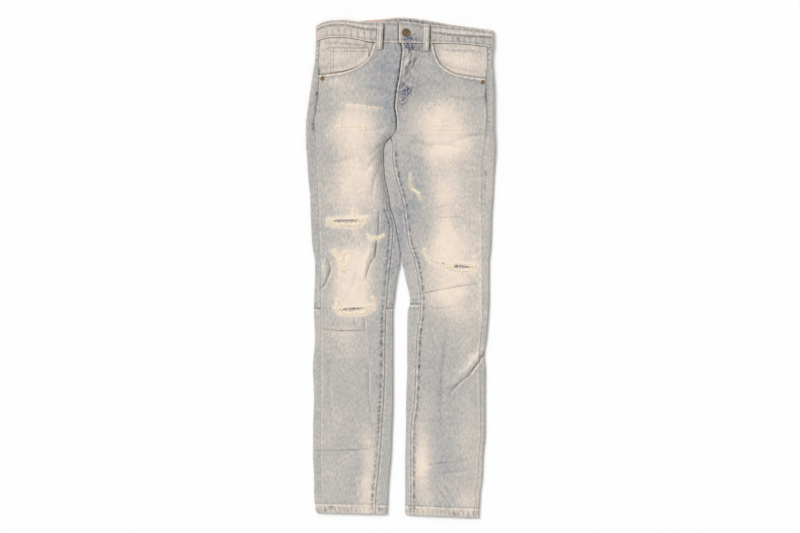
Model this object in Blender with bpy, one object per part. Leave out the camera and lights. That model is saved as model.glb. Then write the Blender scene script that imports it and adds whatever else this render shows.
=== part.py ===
"""Ripped slim jeans, laid flat with the front up.

The part lies on z = 0 with its waist towards +Y and the viewer looking down from +Z. Right and left are
the wearer's, so the right leg is at -X. Every panel is a thin wall of cloth: the front panels lie on top,
the back panels lie underneath and wrap round both edges of each leg up to the seams. Lengths in the
tables and functions are millimetres, and each mesh is written in metres.
"""

import math
from collections import namedtuple

import bmesh
import bpy
from mathutils import Vector

MM = 0.001

# Cloth and gaps
CLOTH = 1.2              # thickness of one layer of denim
HEM_CLOTH = 2.1          # the turned-up hem, doubled
BAND_CLOTH = 2.0         # the waistband, doubled and faced
FACING_CLOTH = 1.0
COIN_CLOTH = 1.0
POCKET_CLOTH = 1.5       # a patch pocket with its turned edges
LOOP_CLOTH = 1.5
LABEL_CLOTH = 0.8
SEAM_GAP = 0.3           # between pieces that are sewn together
HALF_GAP = SEAM_GAP / 2
BAND_GAP = 0.5           # at the waist seam, whose curve the two sides follow with different facets
FACING_GAP = 0.9
YOKE_GAP = 0.8

# Heights of the flat-laid garment
SEAT_LIFT = 1.8          # back pockets and loops hold the seat this far off the surface
SEAT_FROM, SEAT_FULL = 212, 248
CROWN = 1.6              # the middle of a leg stands this much above its edges
CROWN_REACH = 18         # how far in from an edge the crown rises
LEAST_HEIGHT = 3.6       # two layers and the air between them
FLY_LIFT = 2.0           # the left front lies over the right one here
BAND_LAP = 2.4
FLY_END, FLY_FADE = 318, 300
LAP_FULL, LAP_FADE = 24, 52
BAND_PROUD = 0.3         # the band stands this much above the panels

# Rows across the cloth
FRONT_COLUMNS = 10
WAIST_READ = 468         # the rows at the waist seam take their x from the leg tables here
PANEL_ROWS = (
    388, 366, 345, 333, 318, 300, 285, 278, 271, 263, 256, 238, 212, 186, 160, 134, 118, 106, 85,
    60, 36, 11, -14, -40, -62, -100, -126, -152, -178, -204, -230, -256, -284, -312, -340, -368,
    -394, -420, -446, -472,
)
HEM_ROWS = (-493, -496)  # the hem's cloth doubles between these two
YOKE_SIDE_ROWS = (452, 432)
YOKE_MIDDLE_ROWS = (447, 408)
UNDER_YOKE = (410, 397)  # the row between the yoke seam and the first panel row, at side and middle
KNEE_SEAM = {"right": -85, "left": -76}
KNEE_CLEAR = 8           # rows this near the knee seam are left out

Leg = namedtuple("Leg", "y outer out_seam in_seam inner")

# Plan of each leg, from the waist down: the outline at its outer edge, the side seam on the top side,
# the inner edge of the front panel, and the inner edge of the leg. Above the crotch the inner edge is
# the seat seam underneath, and the inner edge of the front panel is its fly or front seam.
RIGHT_LEG = [
    Leg(480, -177, -168, 8, 5),
    Leg(452, -177.5, -169.5, 8, 5),
    Leg(432, -179, -170.5, 8, 5),
    Leg(400, -184, -171, 7, 4),
    Leg(366, -189, -171.5, 4, 2),
    Leg(333, -193.5, -176, 2, -2),
    Leg(318, -195.5, -178.5, -8.5, -6),
    Leg(300, -197.5, -181, -7.8, -10),
    Leg(285, -197.5, -179, -9.4, -15),
    Leg(278, -197.5, -178.2, -14.5, -18),
    Leg(271, -197.5, -177.5, -23.5, -22),
    Leg(263, -197.5, -177.2, -33.3, -28.1),
    Leg(256, -197.5, -177, -39.3, -34),
    Leg(233, -195.5, -176, -40.7, -35.3),
    Leg(191, -193.3, -174.5, -38.6, -33.2),
    Leg(149, -189, -172, -30.2, -24.8),
    Leg(122, -188, -171, -26.6, -21.2),
    Leg(106, -187.5, -170.5, -20.2, -14.5),
    Leg(85, -186.5, -170, -15.7, -10),
    Leg(53, -185, -169.3, -17, -3.8),
    Leg(30, -181.5, -168, -19, -0.5),
    Leg(11, -178.7, -167.3, -20.7, -1),
    Leg(-20, -178.7, -166.6, -24, -7),
    Leg(-72, -180.8, -166.5, -28.6, -13.6),
    Leg(-93, -180.8, -166.5, -30.3, -15.7),
    Leg(-145, -179, -166, -31.8, -15.7),
    Leg(-212, -182.9, -166, -32.6, -15.7),
    Leg(-273, -180.8, -166, -34.9, -15.7),
    Leg(-340, -182.9, -167, -39.1, -17.8),
    Leg(-394, -182.9, -167, -42.8, -19.9),
    Leg(-440, -180.8, -166, -47.4, -24),
    Leg(-473, -180.8, -165, -50.6, -26.1),
    Leg(-512, -176.6, -163, -52, -28.2),
]
LEFT_LEG = [
    Leg(480, 194, 183, -2, 5.3),
    Leg(452, 192, 181, 4.4, 5.3),
    Leg(432, 191.2, 180.5, 2, 5.3),
    Leg(400, 193.5, 179, -2, 4.3),
    Leg(366, 195.4, 178, -8, 2.3),
    Leg(333, 195.4, 180, -11, -1.7),
    Leg(318, 195.4, 180.6, -8.2, -5.7),
    Leg(300, 195.5, 179.8, -7.5, -9.7),
    Leg(285, 196, 178, -9.1, -14.7),
    Leg(278, 196.4, 177.5, -14.2, -17.7),
    Leg(271, 196.8, 177, -19.6, -21.7),
    Leg(263, 197.2, 176, -17.2, -27.6),
    Leg(256, 197.5, 175, -16.1, -33.4),
    Leg(233, 197.5, 172, -16.7, -34.7),
    Leg(191, 195.4, 169.5, -10.2, -32.6),
    Leg(149, 193.3, 169, 1.7, -24.2),
    Leg(122, 191.5, 169.5, 6.9, -20.6),
    Leg(106, 190.4, 170, 8.9, -13.9),
    Leg(85, 190, 170.5, 11.9, -9.4),
    Leg(53, 189, 171, 16.7, -3),
    Leg(30, 187, 171.5, 24, 0.5),
    Leg(11, 185, 172, 30.3, 3.1),
    Leg(-20, 185, 172, 36.2, 9.4),
    Leg(-72, 185, 172, 42, 19.9),
    Leg(-93, 183.9, 172, 41.4, 14.6),
    Leg(-145, 179.7, 168, 34.5, 13.6),
    Leg(-185, 174.6, 165, 32.6, 13.6),
    Leg(-212, 176.8, 166, 32, 13.6),
    Leg(-273, 176.6, 167, 29.5, 11.5),
    Leg(-340, 176.6, 167.5, 22, 11),
    Leg(-394, 172.4, 164, 21.5, 9.4),
    Leg(-440, 170.3, 161.5, 21.5, 9.4),
    Leg(-473, 166.2, 157.5, 21.5, 9.4),
    Leg(-515, 163.4, 153.5, 21.5, 9.4),
]
HEM_ENDS = {"right": (-511, -514), "left": (-521.8, -515.2)}  # the hem's y at the outer and inner edge

Band = namedtuple("Band", "x front_top front_low back_top back_low")

# Upper and lower edge of the waistband, on the front that shows and on the back underneath
BAND_EDGES = [
    Band(-178, 503, 471, 503, 471),
    Band(-164, 511, 476.5, 505, 471.5),
    Band(-150, 515, 480, 507, 472),
    Band(-117, 517, 480, 510.5, 473.5),
    Band(-91, 514, 476.5, 513.5, 476),
    Band(-64, 512.5, 471.5, 516.5, 479),
    Band(-30, 513, 470, 519.5, 482),
    Band(0, 513, 469, 522, 484),
    Band(47, 508, 468.5, 517.5, 480),
    Band(85, 504.5, 468, 511, 473.5),
    Band(124, 501, 467, 504.5, 467),
    Band(160, 497, 463.5, 500, 462),
    Band(195, 493, 459, 495, 459),
]
BAND_UNDER_END = 20      # the right end of the band, under the left one
BAND_OVER_END = -3       # the left end of the band, on top
BAND_ROWS = 2
BAND_STEPS = 16          # on each flat stretch
BAND_TURN_STEPS = 4
BAND_TURN_Y = 480
BAND_TURN_TOP, BAND_TURN_UNDER = 4, 8   # where the band's edge turns start, in from the edge
TURN_FOLLOWS_BACK = 0.6  # past this share of a turn the band follows its back edges

Height = namedtuple("Height", "y edge")

# Height of a leg's rounded edge above its underside
EDGE_HEIGHTS = [Height(-525, 5.2), Height(-494, 5.2), Height(-470, 4.5), Height(180, 4.5), Height(330, 5.2)]

Climb = namedtuple("Climb", "y share")

# How far the back panels have wrapped up round the inner edge at the crotch
CLIMBS = [Climb(285, 0), Climb(278, 0.15), Climb(271, 0.3), Climb(263, 1)]
SHARP_ANGLE = 40         # degrees between faces that meet in an edge

Fold = namedtuple("Fold", "leg x0 y0 x1 y1 height reach")

# The largest folds of the cloth that lies on top: ridges, and troughs with a height below zero
FOLDS = [
    Fold("right", -40, 118, -62, -6, 1.5, 12),
    Fold("right", -160, 16, -150, -28, 2.0, 13),
    Fold("right", -160, -130, -76, -127, -1.0, 12),
    Fold("right", -172, -381, -50, -376, -0.9, 13),
    Fold("right", -146, -235, -118, -330, 0.9, 20),
    Fold("right", -70, 352, -165, 318, 1.0, 18),
    Fold("right", -20, 288, -52, 225, 1.1, 15),
    Fold("left", 46, -54, 160, -35, -1.1, 11),
    Fold("left", 172, -188, 108, -250, 2.3, 13),
    Fold("left", 162, -166, 112, -214, -1.1, 12),
    Fold("left", 62, -412, 155, -425, -1.0, 12),
    Fold("left", 60, 335, 182, 296, 1.0, 18),
    Fold("left", 44, 196, 150, 244, 0.9, 20),
    Fold("left", 14, 462, 6, 396, 1.2, 12),
    Fold("left", 60, -120, 95, -190, 0.9, 16),
]

FOLD_END = 0.55          # a fold's height at its ends, as a share of its middle

Scoop = namedtuple("Scoop", "x y")

# Curved edge of each front pocket opening, from the waistband to the side seam
SCOOPS = {
    "right": [Scoop(-52.5, 476), Scoop(-58, 459), Scoop(-64.5, 442), Scoop(-79, 426), Scoop(-98, 415),
              Scoop(-122, 407), Scoop(-146, 403.5), Scoop(-176, 401)],
    "left": [Scoop(66, 472), Scoop(69, 459), Scoop(74, 440), Scoop(83.5, 423), Scoop(99, 411),
             Scoop(117, 403), Scoop(138, 399), Scoop(157, 396), Scoop(185, 393)],
}
SCOOP_CORNER = {"right": (-176, 500), "left": (187, 490)}
FACING_COLUMNS = {"right": (-149, -126, -103, -80, -62, -46), "left": (160, 138, 116, 94, 77, 61)}
FACING_UPPER_ROW = {"right": 460, "left": 452}
FACING_ROWS = 4          # rows of cloth below the upper row
FACING_UNDER = 13        # the facing reaches this far under the front
FACING_DROP = {"right": 3.1, "left": 1.7}
DROP_FULL, DROP_NONE = 8, 24
COIN_SPAN = (1, 4)       # the coin pocket's first and last column of the right facing
SCOOP_STEPS, SCOOP_SAMPLES = 14, 40
SCOOP_CROWDING = 1.6     # the cut's points stand closer at its steep end
SCOOP_CUT = (3, 20)      # heights between which the front is cut away

Rip = namedtuple("Rip", "name leg x0 y0 x1 y1 width bow")

# Rips that are open: a lens between two ends, bowed across its middle
RIPS = [
    Rip("thigh_right", "right", -148, 98.5, -74, 99.5, 11, -3),
    Rip("knee_right", "right", -134, -87.5, -62, -84.5, 10, -1.5),
    Rip("knee_left", "left", 82, 10.5, 156, 1, 10, -4),
]
RIP_STEPS = 9
RIP_BLUNTNESS = 0.6
RIP_CUT = (2.6, 16)
STRANDS = 10             # along each edge, the two edges half a pitch apart
STRAND_REACH = {"upper": 5.0, "lower": 4.2}
STRAND_WIDTH = 1.1
STRAND_SWAY = 0.5
STRAND_TAPER, STRAND_DROP = 0.3, 0.25
STRAND_CLEAR = 0.5       # from a tip to the strip across the rip
REACH_RANGE = (0.5, 1.0)
REACH_PHASE, SWAY_PHASE = 2.4, 1.7   # radians from one strand to the next
STRAND_PITCH_START = 0.25
STRIP_SHARE = (0.14, 0.86)   # the stretch of the rip that carries fringe
STRIP_INSET = 0.45
STRIP_WIDTH = 1.2
STRIP_DEPTH = 0.9
STRIP_SINK = 0.15

Loop = namedtuple("Loop", "name x top low face lean")

LOOPS = [
    Loop("belt_loop_front_right", -42.8, 509, 455, "front", 1.5),
    Loop("belt_loop_front_left", 54.3, 506, 452, "front", 0.5),
    Loop("belt_loop_back_right", -118, 507, 456, "back", 0),
    Loop("belt_loop_back_centre", 5, 518, 467, "back", 0),
    Loop("belt_loop_back_left", 126, 501, 453.5, "back", 0),
]
LOOP_WIDTH = 12
LOOP_ARCH = 1.6
LOOP_STEPS = 8
LOOP_CLEAR = 0.4

Pocket = namedtuple("Pocket", "name x top_outer top_inner")
Corner = namedtuple("Corner", "across down")

POCKETS = [
    Pocket("back_pocket_right", -94, 404, 397),
    Pocket("back_pocket_left", 98, 404, 397),
]
POCKET_TOP_WIDTH = 140
POCKET_CORNERS = [Corner(-58, 124), Corner(-52, 129), Corner(0, 141), Corner(52, 129), Corner(58, 124)]

LABEL_X = (-69, -31)
LABEL_HEIGHT = 21
LABEL_INSET = 1.5
LABEL_STEPS = 3

Step = namedtuple("Step", "radius rise")

BUTTON_AT = (11.5, 490)
BUTTON_HEAD = [
    Step(7.3, 0), Step(8.5, 0.7), Step(8.5, 1.5), Step(7.6, 2.4), Step(6.2, 2.3), Step(5.3, 1.7),
    Step(2.2, 1.9), Step(0, 2.1),
]
SHANK_RADIUS = 2.7
BUTTONHOLE_RADIUS = 3.3
BUTTONHOLE_CUT = 8
BUTTON_SIDES = 24
RIVETS = {"right": (-163.5, 395), "left": (171, 387)}
RIVET_RADIUS = 4.4
RIVET_HEAD = [
    Step(RIVET_RADIUS, 0), Step(RIVET_RADIUS, 0.5), Step(3.2, 1.1), Step(2, 0.9), Step(1.4, 1.6),
    Step(0, 1.7),
]
RIVET_SIDES = 16

EDGE_STRIP_STEPS, EDGE_TURN_STEPS, UNDER_STEPS, INNER_TURN_STEPS, INNER_STRIP_STEPS = 2, 4, 5, 4, 2
FLAT_ENDS = (15, 12.5, 10, 8, 6, 3, 0)   # above the crotch, the last columns' distances from the seat seam

Finish = namedtuple("Finish", "red green blue roughness metallic")

FINISHES = {
    "denim": Finish(0.60, 0.60, 0.61, 0.92, 0),
    "denim_worn": Finish(0.74, 0.70, 0.63, 0.93, 0),
    "fray": Finish(0.86, 0.80, 0.66, 0.95, 0),
    "label": Finish(0.72, 0.62, 0.58, 0.85, 0),
    "metal": Finish(0.55, 0.42, 0.30, 0.38, 1),
}


def smooth_step(value, start, end):
    share = min(1, max(0, (value - start) / (end - start)))
    return share * share * (3 - 2 * share)


def mix(a, b, share):
    return a + (b - a) * share


class Curve:
    """A smooth curve through the rows of a table, which never swings past them."""

    def __init__(self, rows, place, value):
        pairs = sorted((getattr(row, place), getattr(row, value)) for row in rows)
        self.places = [pair[0] for pair in pairs]
        self.values = [pair[1] for pair in pairs]
        spans = list(zip(pairs, pairs[1:]))
        rises = [(b[1] - a[1]) / (b[0] - a[0]) for a, b in spans]
        inner = [2 * a * b / (a + b) if a * b > 0 else 0 for a, b in zip(rises, rises[1:])]
        self.slopes = [rises[0]] + inner + [rises[-1]]

    def __call__(self, place):
        place = min(max(place, self.places[0]), self.places[-1])
        i = max(k for k in range(len(self.places) - 1) if self.places[k] <= place)
        span = self.places[i + 1] - self.places[i]
        t = (place - self.places[i]) / span
        return (
            self.values[i] * (1 + 2 * t) * (1 - t) ** 2
            + self.values[i + 1] * t * t * (3 - 2 * t)
            + span * t * (1 - t) * (self.slopes[i] * (1 - t) - self.slopes[i + 1] * t)
        )


def leg_curves(rows):
    return Leg("y", *(Curve(rows, "y", column) for column in Leg._fields[1:]))


LEGS = {"right": leg_curves(RIGHT_LEG), "left": leg_curves(LEFT_LEG)}
OUTWARD = {"right": -1, "left": 1}
BAND_CURVES = Band("x", *(Curve(BAND_EDGES, "x", column) for column in Band._fields[1:]))
edge_height = Curve(EDGE_HEIGHTS, "y", "edge")
climb = Curve(CLIMBS, "y", "share")
SCOOP_CURVES = {side: Curve(rows, "x", "y") for side, rows in SCOOPS.items()}


def under_height(y):
    """Height of the underside above the surface."""
    return SEAT_LIFT * smooth_step(y, SEAT_FROM, SEAT_FULL)


def fold_height(side, x, y):
    """Sum of the folds at a place, each fading along its length and to its sides."""
    total = 0
    for fold in FOLDS:
        if fold.leg != side:
            continue
        run_x, run_y = fold.x1 - fold.x0, fold.y1 - fold.y0
        length = math.hypot(run_x, run_y)
        along = ((x - fold.x0) * run_x + (y - fold.y0) * run_y) / length
        across = ((x - fold.x0) * run_y - (y - fold.y0) * run_x) / length
        over = max(0, -along, along - length)
        middle = mix(FOLD_END, 1, math.sin(math.pi * min(1, max(0, along / length))))
        total += fold.height * middle * math.exp(-(across ** 2 + over ** 2) / fold.reach ** 2)
    return total


def lap_share(x):
    """How far the left front is still lifted over the right one at x."""
    return 1 - smooth_step(x, LAP_FULL, LAP_FADE)


def top_height(side, x, y):
    """Height of the upper face of the top layer."""
    leg = LEGS[side]
    from_outer = abs(x - leg.outer(y))
    from_inner = abs(x - leg.inner(y))
    crown = 1 - math.exp(-from_outer / CROWN_REACH)
    crown *= 1 - climb(min(y, CLIMBS[0].y)) * math.exp(-from_inner / CROWN_REACH)
    edge = smooth_step(from_outer, 0, CROWN_REACH)
    height = edge_height(y) + CROWN * crown + edge * fold_height(side, x, y)
    height = under_height(y) + max(height, LEAST_HEIGHT)
    if side == "left":
        height += FLY_LIFT * lap_share(x) * smooth_step(y, FLY_FADE, FLY_END)
    return height


def turn_radius(side, edge, outward, y):
    """Radius of the fold round an edge, from the height of the cloth beside it."""
    low = under_height(y)
    radius = edge_height(y) / 2
    for _ in range(2):
        radius = (top_height(side, edge - outward * radius, y) - low) / 2
    return radius


def turned(edge, outward, radius, low, inset, turn):
    """Place on the fold round an edge: turn 0 is on top, and 1 is underneath."""
    angle = math.pi * turn
    x = edge - outward * radius + outward * (radius - inset) * math.sin(angle)
    return x, low + radius + (radius - inset) * math.cos(angle)


def add_piece(name, points, faces, finish):
    """One named piece with its own material, from points in millimetres."""
    shape = bmesh.new()
    corners = [shape.verts.new(Vector(point) * MM) for point in points]
    for face in faces:
        shape.faces.new([corners[k] for k in face])
    bmesh.ops.recalc_face_normals(shape, faces=shape.faces)
    mesh = bpy.data.meshes.new(name)
    shape.to_mesh(mesh)
    shape.free()
    piece = bpy.data.objects.new(name, mesh)
    bpy.context.scene.collection.objects.link(piece)
    look = FINISHES[finish]
    material = bpy.data.materials.new(name)
    material.use_nodes = True
    surface = material.node_tree.nodes["Principled BSDF"]
    surface.inputs["Base Color"].default_value = (look.red, look.green, look.blue, 1)
    surface.inputs["Roughness"].default_value = look.roughness
    surface.inputs["Metallic"].default_value = look.metallic
    material.diffuse_color = (look.red, look.green, look.blue, 1)
    mesh.materials.append(material)
    mesh.shade_smooth()
    mesh.set_sharp_from_angle(angle=math.radians(SHARP_ANGLE))
    return piece


def add_wall(name, outer, inner, finish):
    """A closed wall between two like grids of points."""
    rows, columns = len(outer), len(outer[0])
    points = [point for row in outer for point in row] + [point for row in inner for point in row]
    count = rows * columns

    def at(i, j, skin):
        return skin * count + i * columns + j

    faces = []
    for i in range(rows - 1):
        for j in range(columns - 1):
            faces.append((at(i, j, 0), at(i + 1, j, 0), at(i + 1, j + 1, 0), at(i, j + 1, 0)))
            faces.append((at(i, j, 1), at(i, j + 1, 1), at(i + 1, j + 1, 1), at(i + 1, j, 1)))
    for i in range(rows - 1):
        faces.append((at(i, 0, 0), at(i, 0, 1), at(i + 1, 0, 1), at(i + 1, 0, 0)))
        last = columns - 1
        faces.append((at(i + 1, last, 0), at(i + 1, last, 1), at(i, last, 1), at(i, last, 0)))
    for j in range(columns - 1):
        faces.append((at(0, j + 1, 0), at(0, j + 1, 1), at(0, j, 1), at(0, j, 0)))
        last = rows - 1
        faces.append((at(last, j, 0), at(last, j, 1), at(last, j + 1, 1), at(last, j + 1, 0)))
    return add_piece(name, points, faces, finish)


def lowered(grid, depth):
    return [[(x, y, z - depth) for x, y, z in row] for row in grid]


def hem_y(side, x):
    leg = LEGS[side]
    y_outer, y_inner = HEM_ENDS[side]
    outer, inner = leg.outer(y_outer), leg.inner(y_inner)
    return mix(y_outer, y_inner, (x - outer) / (inner - outer))


def front_low(x):
    """Upper edge of what is sewn to the front of the waistband."""
    return BAND_CURVES.front_low(x) - BAND_GAP


def cloth_at(y):
    """Thickness of a leg panel, doubled in the hem."""
    return HEM_CLOTH if y <= HEM_ROWS[1] else CLOTH


def front_panel(side):
    """A front leg panel, from the waistband to the hem, as a wall under its upper face."""
    leg = LEGS[side]
    outward = OUTWARD[side]
    knee = KNEE_SEAM[side]
    levels = sorted([*YOKE_SIDE_ROWS, UNDER_YOKE[0], *PANEL_ROWS, knee, *HEM_ROWS], reverse=True)
    outer, inner = [], []
    for level in ["waist", *levels, "hem"]:
        read = {"waist": WAIST_READ, "hem": HEM_ENDS[side][0]}.get(level, level)
        start = leg.out_seam(read) - outward * HALF_GAP
        end = leg.in_seam(read) + outward * HALF_GAP
        row = []
        for k in range(FRONT_COLUMNS + 1):
            x = mix(start, end, k / FRONT_COLUMNS)
            y = {"waist": front_low(x), "hem": hem_y(side, x)}.get(level, level)
            row.append((x, y, top_height(side, x, y)))
        outer.append(row)
        inner.append([(x, y, z - cloth_at(read)) for x, y, z in row])
    return add_wall(f"front_{side}", outer, inner, "denim_worn")


def section_stops(side, y, share):
    """Stops along a back panel's section: 0 to 1 on the top strip at the side seam, 1 to 2 round the
    outer edge, 2 to 3 underneath, 3 to 4 round the inner edge, 4 to 5 on the inner top strip. At share 0
    the last two stretches lie flat beside the seat seam, and at share 1 they wrap the inner edge."""
    width = abs(LEGS[side].outer(y) - LEGS[side].inner(y))
    stops = [k / EDGE_STRIP_STEPS for k in range(EDGE_STRIP_STEPS)]
    stops += [1 + k / EDGE_TURN_STEPS for k in range(EDGE_TURN_STEPS)]
    stops += [2 + k / UNDER_STEPS for k in range(UNDER_STEPS)]
    wrapped = [3 + k / INNER_TURN_STEPS for k in range(INNER_TURN_STEPS)]
    wrapped += [4 + k / INNER_STRIP_STEPS for k in range(INNER_STRIP_STEPS + 1)]
    return stops + [mix(3 - flat / width, stop, share) for stop, flat in zip(wrapped, FLAT_ENDS)]


def back_point(side, y, stop, inset, share):
    """Place on a back panel's section at height y, inset from its outer face."""
    leg = LEGS[side]
    outward = OUTWARD[side]
    low = under_height(y)
    outer = leg.outer(y)
    outer_radius = turn_radius(side, outer, outward, y)
    inner = leg.inner(y) + outward * HALF_GAP
    if stop < 1:
        x = mix(leg.out_seam(y) + outward * HALF_GAP, outer - outward * outer_radius, stop)
        return x, top_height(side, x, y) - inset
    if stop <= 2:
        return turned(outer, outward, outer_radius, low, inset, stop - 1)
    inner_radius = turn_radius(side, inner, -outward, y) if share else 0
    if stop < 3:
        x = mix(outer - outward * outer_radius, inner + outward * inner_radius, stop - 2)
        return x, low + inset
    if share == 0:
        return inner, low + inset
    if stop <= 4:
        return turned(inner, -outward, inner_radius, low, inset, 4 - stop)
    x = mix(inner + outward * inner_radius, leg.in_seam(y) - outward * HALF_GAP, stop - 4)
    return x, top_height(side, x, y) - inset


def back_row(side, y_side, y_middle, inset):
    """One row of a back panel. Its height changes from the side to the middle along the underside."""
    share = climb(min(y_side, CLIMBS[0].y))
    row = []
    for stop in section_stops(side, y_side, share):
        y = mix(y_side, y_middle, min(1, max(0, stop - 2)))
        x, z = back_point(side, y, stop, inset, share)
        row.append((x, y, z))
    return row


def back_skins(side, levels):
    """Both faces of a back panel, through rows given by their heights at the side and the middle."""
    outer = [back_row(side, y_side, y_middle, 0) for y_side, y_middle in levels]
    inner = [back_row(side, y_side, y_middle, cloth_at(y_side)) for y_side, y_middle in levels]
    return outer, inner


def back_thigh(side):
    """The upper back leg panel, from the yoke seam to the knee seam."""
    seam = (YOKE_SIDE_ROWS[1] - HALF_GAP, YOKE_MIDDLE_ROWS[1] - HALF_GAP)
    knee = KNEE_SEAM[side] + HALF_GAP
    levels = [seam, UNDER_YOKE]
    levels += [(y, y) for y in PANEL_ROWS if y > knee + KNEE_CLEAR]
    levels += [(knee, knee)]
    return add_wall(f"back_thigh_{side}", *back_skins(side, levels), "denim")


def back_calf(side):
    """The lower back leg panel, from the knee seam to the hem."""
    knee = KNEE_SEAM[side] - HALF_GAP
    hem = HEM_ENDS[side][0]
    levels = [(knee, knee)] + [(y, y) for y in PANEL_ROWS if y < knee - KNEE_CLEAR]
    levels += [(y, y) for y in (*HEM_ROWS, hem)]
    skins = back_skins(side, levels)
    for skin in skins:
        skin[-1] = [(x, hem_y(side, x), z) for x, _, z in skin[-1]]
    return add_wall(f"back_calf_{side}", *skins, "denim")


def waist_row(side, inset):
    """The yoke's upper row, along the lower edge of the waistband."""
    places = back_row(side, WAIST_READ, WAIST_READ, inset)
    row = []
    for (x, _, z), stop in zip(places, section_stops(side, WAIST_READ, 0)):
        low = BAND_CURVES.front_low(x) if stop < 1.5 else BAND_CURVES.back_low(x)
        row.append((x, low - YOKE_GAP, z))
    return row


def yoke(side):
    """The back yoke, from the waistband to the slanting yoke seam."""
    seam = (YOKE_SIDE_ROWS[1] + HALF_GAP, YOKE_MIDDLE_ROWS[1] + HALF_GAP)
    outer, inner = back_skins(side, [(YOKE_SIDE_ROWS[0], YOKE_MIDDLE_ROWS[0]), seam])
    outer.insert(0, waist_row(side, 0))
    inner.insert(0, waist_row(side, CLOTH))
    return add_wall(f"yoke_{side}", outer, inner, "denim")


def band_top(x, y):
    """Height of the waistband's upper face, without the lap at the fly."""
    side = "right" if x < BAND_UNDER_END else "left"
    lap = FLY_LIFT * lap_share(x) if side == "left" else 0
    return top_height(side, x, y) - lap + BAND_PROUD


def band_stations():
    """Stops along the waistband: its stretch, and the place along x or round the edge."""
    right, left = LEGS["right"].outer(BAND_TURN_Y), LEGS["left"].outer(BAND_TURN_Y)
    flat = [k / BAND_STEPS for k in range(BAND_STEPS + 1)]
    turn = [k / BAND_TURN_STEPS for k in range(BAND_TURN_STEPS + 1)]
    stations = [("under", mix(BAND_UNDER_END, right + BAND_TURN_TOP, k)) for k in flat]
    stations += [("right_edge", k) for k in turn]
    stations += [("back", mix(right + BAND_TURN_UNDER, left - BAND_TURN_UNDER, k)) for k in flat]
    stations += [("left_edge", 1 - k) for k in turn]
    stations += [("over", mix(left - BAND_TURN_TOP, BAND_OVER_END, k)) for k in flat]
    return stations


def band_point(stretch, place, share, inset):
    """Place on the waistband: share runs from its lower to its upper edge."""
    if stretch == "back":
        y = mix(BAND_CURVES.back_low(place), BAND_CURVES.back_top(place), share)
        return place, y, under_height(y) + inset
    if stretch in ("right_edge", "left_edge"):
        side = stretch.split("_")[0]
        outward = OUTWARD[side]
        edge = LEGS[side].outer(BAND_TURN_Y)
        y = mix(BAND_CURVES.front_low(edge), BAND_CURVES.front_top(edge), share)
        low = under_height(y)
        radius = (band_top(edge - outward * BAND_TURN_TOP, y) - low) / 2
        x, z = turned(edge, outward, radius, low, inset, place)
        plan_x, _ = turned(edge, outward, radius, low, 0, place)
        front = place < TURN_FOLLOWS_BACK
        lower = (BAND_CURVES.front_low if front else BAND_CURVES.back_low)(plan_x)
        upper = (BAND_CURVES.front_top if front else BAND_CURVES.back_top)(plan_x)
        return x, mix(lower, upper, share), z
    y = mix(BAND_CURVES.front_low(place), BAND_CURVES.front_top(place), share)
    lap = BAND_LAP * lap_share(place) if stretch == "over" else 0
    return place, y, band_top(place, y) + lap - inset


def waistband():
    """The waistband, one strip from the fly end underneath, round the back, to the fly end on top."""
    stations = band_stations()

    def skin(inset):
        return [
            [band_point(stretch, place, k / BAND_ROWS, inset) for k in range(BAND_ROWS + 1)]
            for stretch, place in stations
        ]

    band = add_wall("waistband", skin(0), skin(BAND_CLOTH), "denim")
    low = band_top(*BUTTON_AT) + (BAND_LAP - BAND_CLOTH) / 2
    high = low + BUTTONHOLE_CUT
    profile = [(0, low), (BUTTONHOLE_RADIUS, low), (BUTTONHOLE_RADIUS, high), (0, high)]
    hole = add_turned("buttonhole_cutter", profile, BUTTON_SIDES, "denim")
    hole.location = (BUTTON_AT[0] * MM, BUTTON_AT[1] * MM, 0)
    cut(band, hole)
    return band


def add_turned(name, profile, sides, finish):
    """A round piece about z from (radius, height) points, which start and end on the axis."""
    points, rings = [], []
    for radius, height in profile:
        if radius == 0:
            rings.append([len(points)] * sides)
            points.append((0, 0, height))
            continue
        rings.append(list(range(len(points), len(points) + sides)))
        for k in range(sides):
            angle = math.tau * k / sides
            points.append((radius * math.cos(angle), radius * math.sin(angle), height))
    faces = []
    for low, high in zip(rings, rings[1:]):
        for k in range(sides):
            n = (k + 1) % sides
            corners = [low[k], low[n], high[n], high[k]]
            faces.append(tuple(dict.fromkeys(corners)))
    return add_piece(name, points, faces, finish)


def cut(piece, cutter):
    """Take the cutter's form out of a piece."""
    cutter.hide_render = True
    cutter.display_type = "WIRE"
    taken = piece.modifiers.new(cutter.name, "BOOLEAN")
    taken.operation = "DIFFERENCE"
    taken.solver = "EXACT"
    taken.object = cutter


def add_prism(name, outline, low, high):
    """An upright prism on an outline."""
    count = len(outline)
    points = [(x, y, low) for x, y in outline] + [(x, y, high) for x, y in outline]
    faces = [tuple(reversed(range(count))), tuple(range(count, 2 * count))]
    faces += [(k, (k + 1) % count, count + (k + 1) % count, count + k) for k in range(count)]
    return add_piece(name, points, faces, "denim")


def scoop_points(side, steps):
    """Points along the curved edge of a front pocket opening."""
    start, end = SCOOPS[side][0].x, SCOOPS[side][-1].x
    places = [mix(start, end, (k / steps) ** SCOOP_CROWDING) for k in range(steps + 1)]
    return [(x, SCOOP_CURVES[side](x)) for x in places]


def open_front_pocket(side, panel):
    """Cut the curved pocket opening out of the panel's upper outer corner."""
    corner_x, corner_y = SCOOP_CORNER[side]
    outline = scoop_points(side, SCOOP_STEPS) + [(corner_x, corner_y), (SCOOPS[side][0].x, corner_y)]
    cut(panel, add_prism(f"scoop_cutter_{side}", outline, *SCOOP_CUT))


def rip_half_width(rip, t):
    """Half the opening of a rip at share t of its length."""
    return rip.width / 2 * math.sin(math.pi * t) ** RIP_BLUNTNESS


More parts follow.
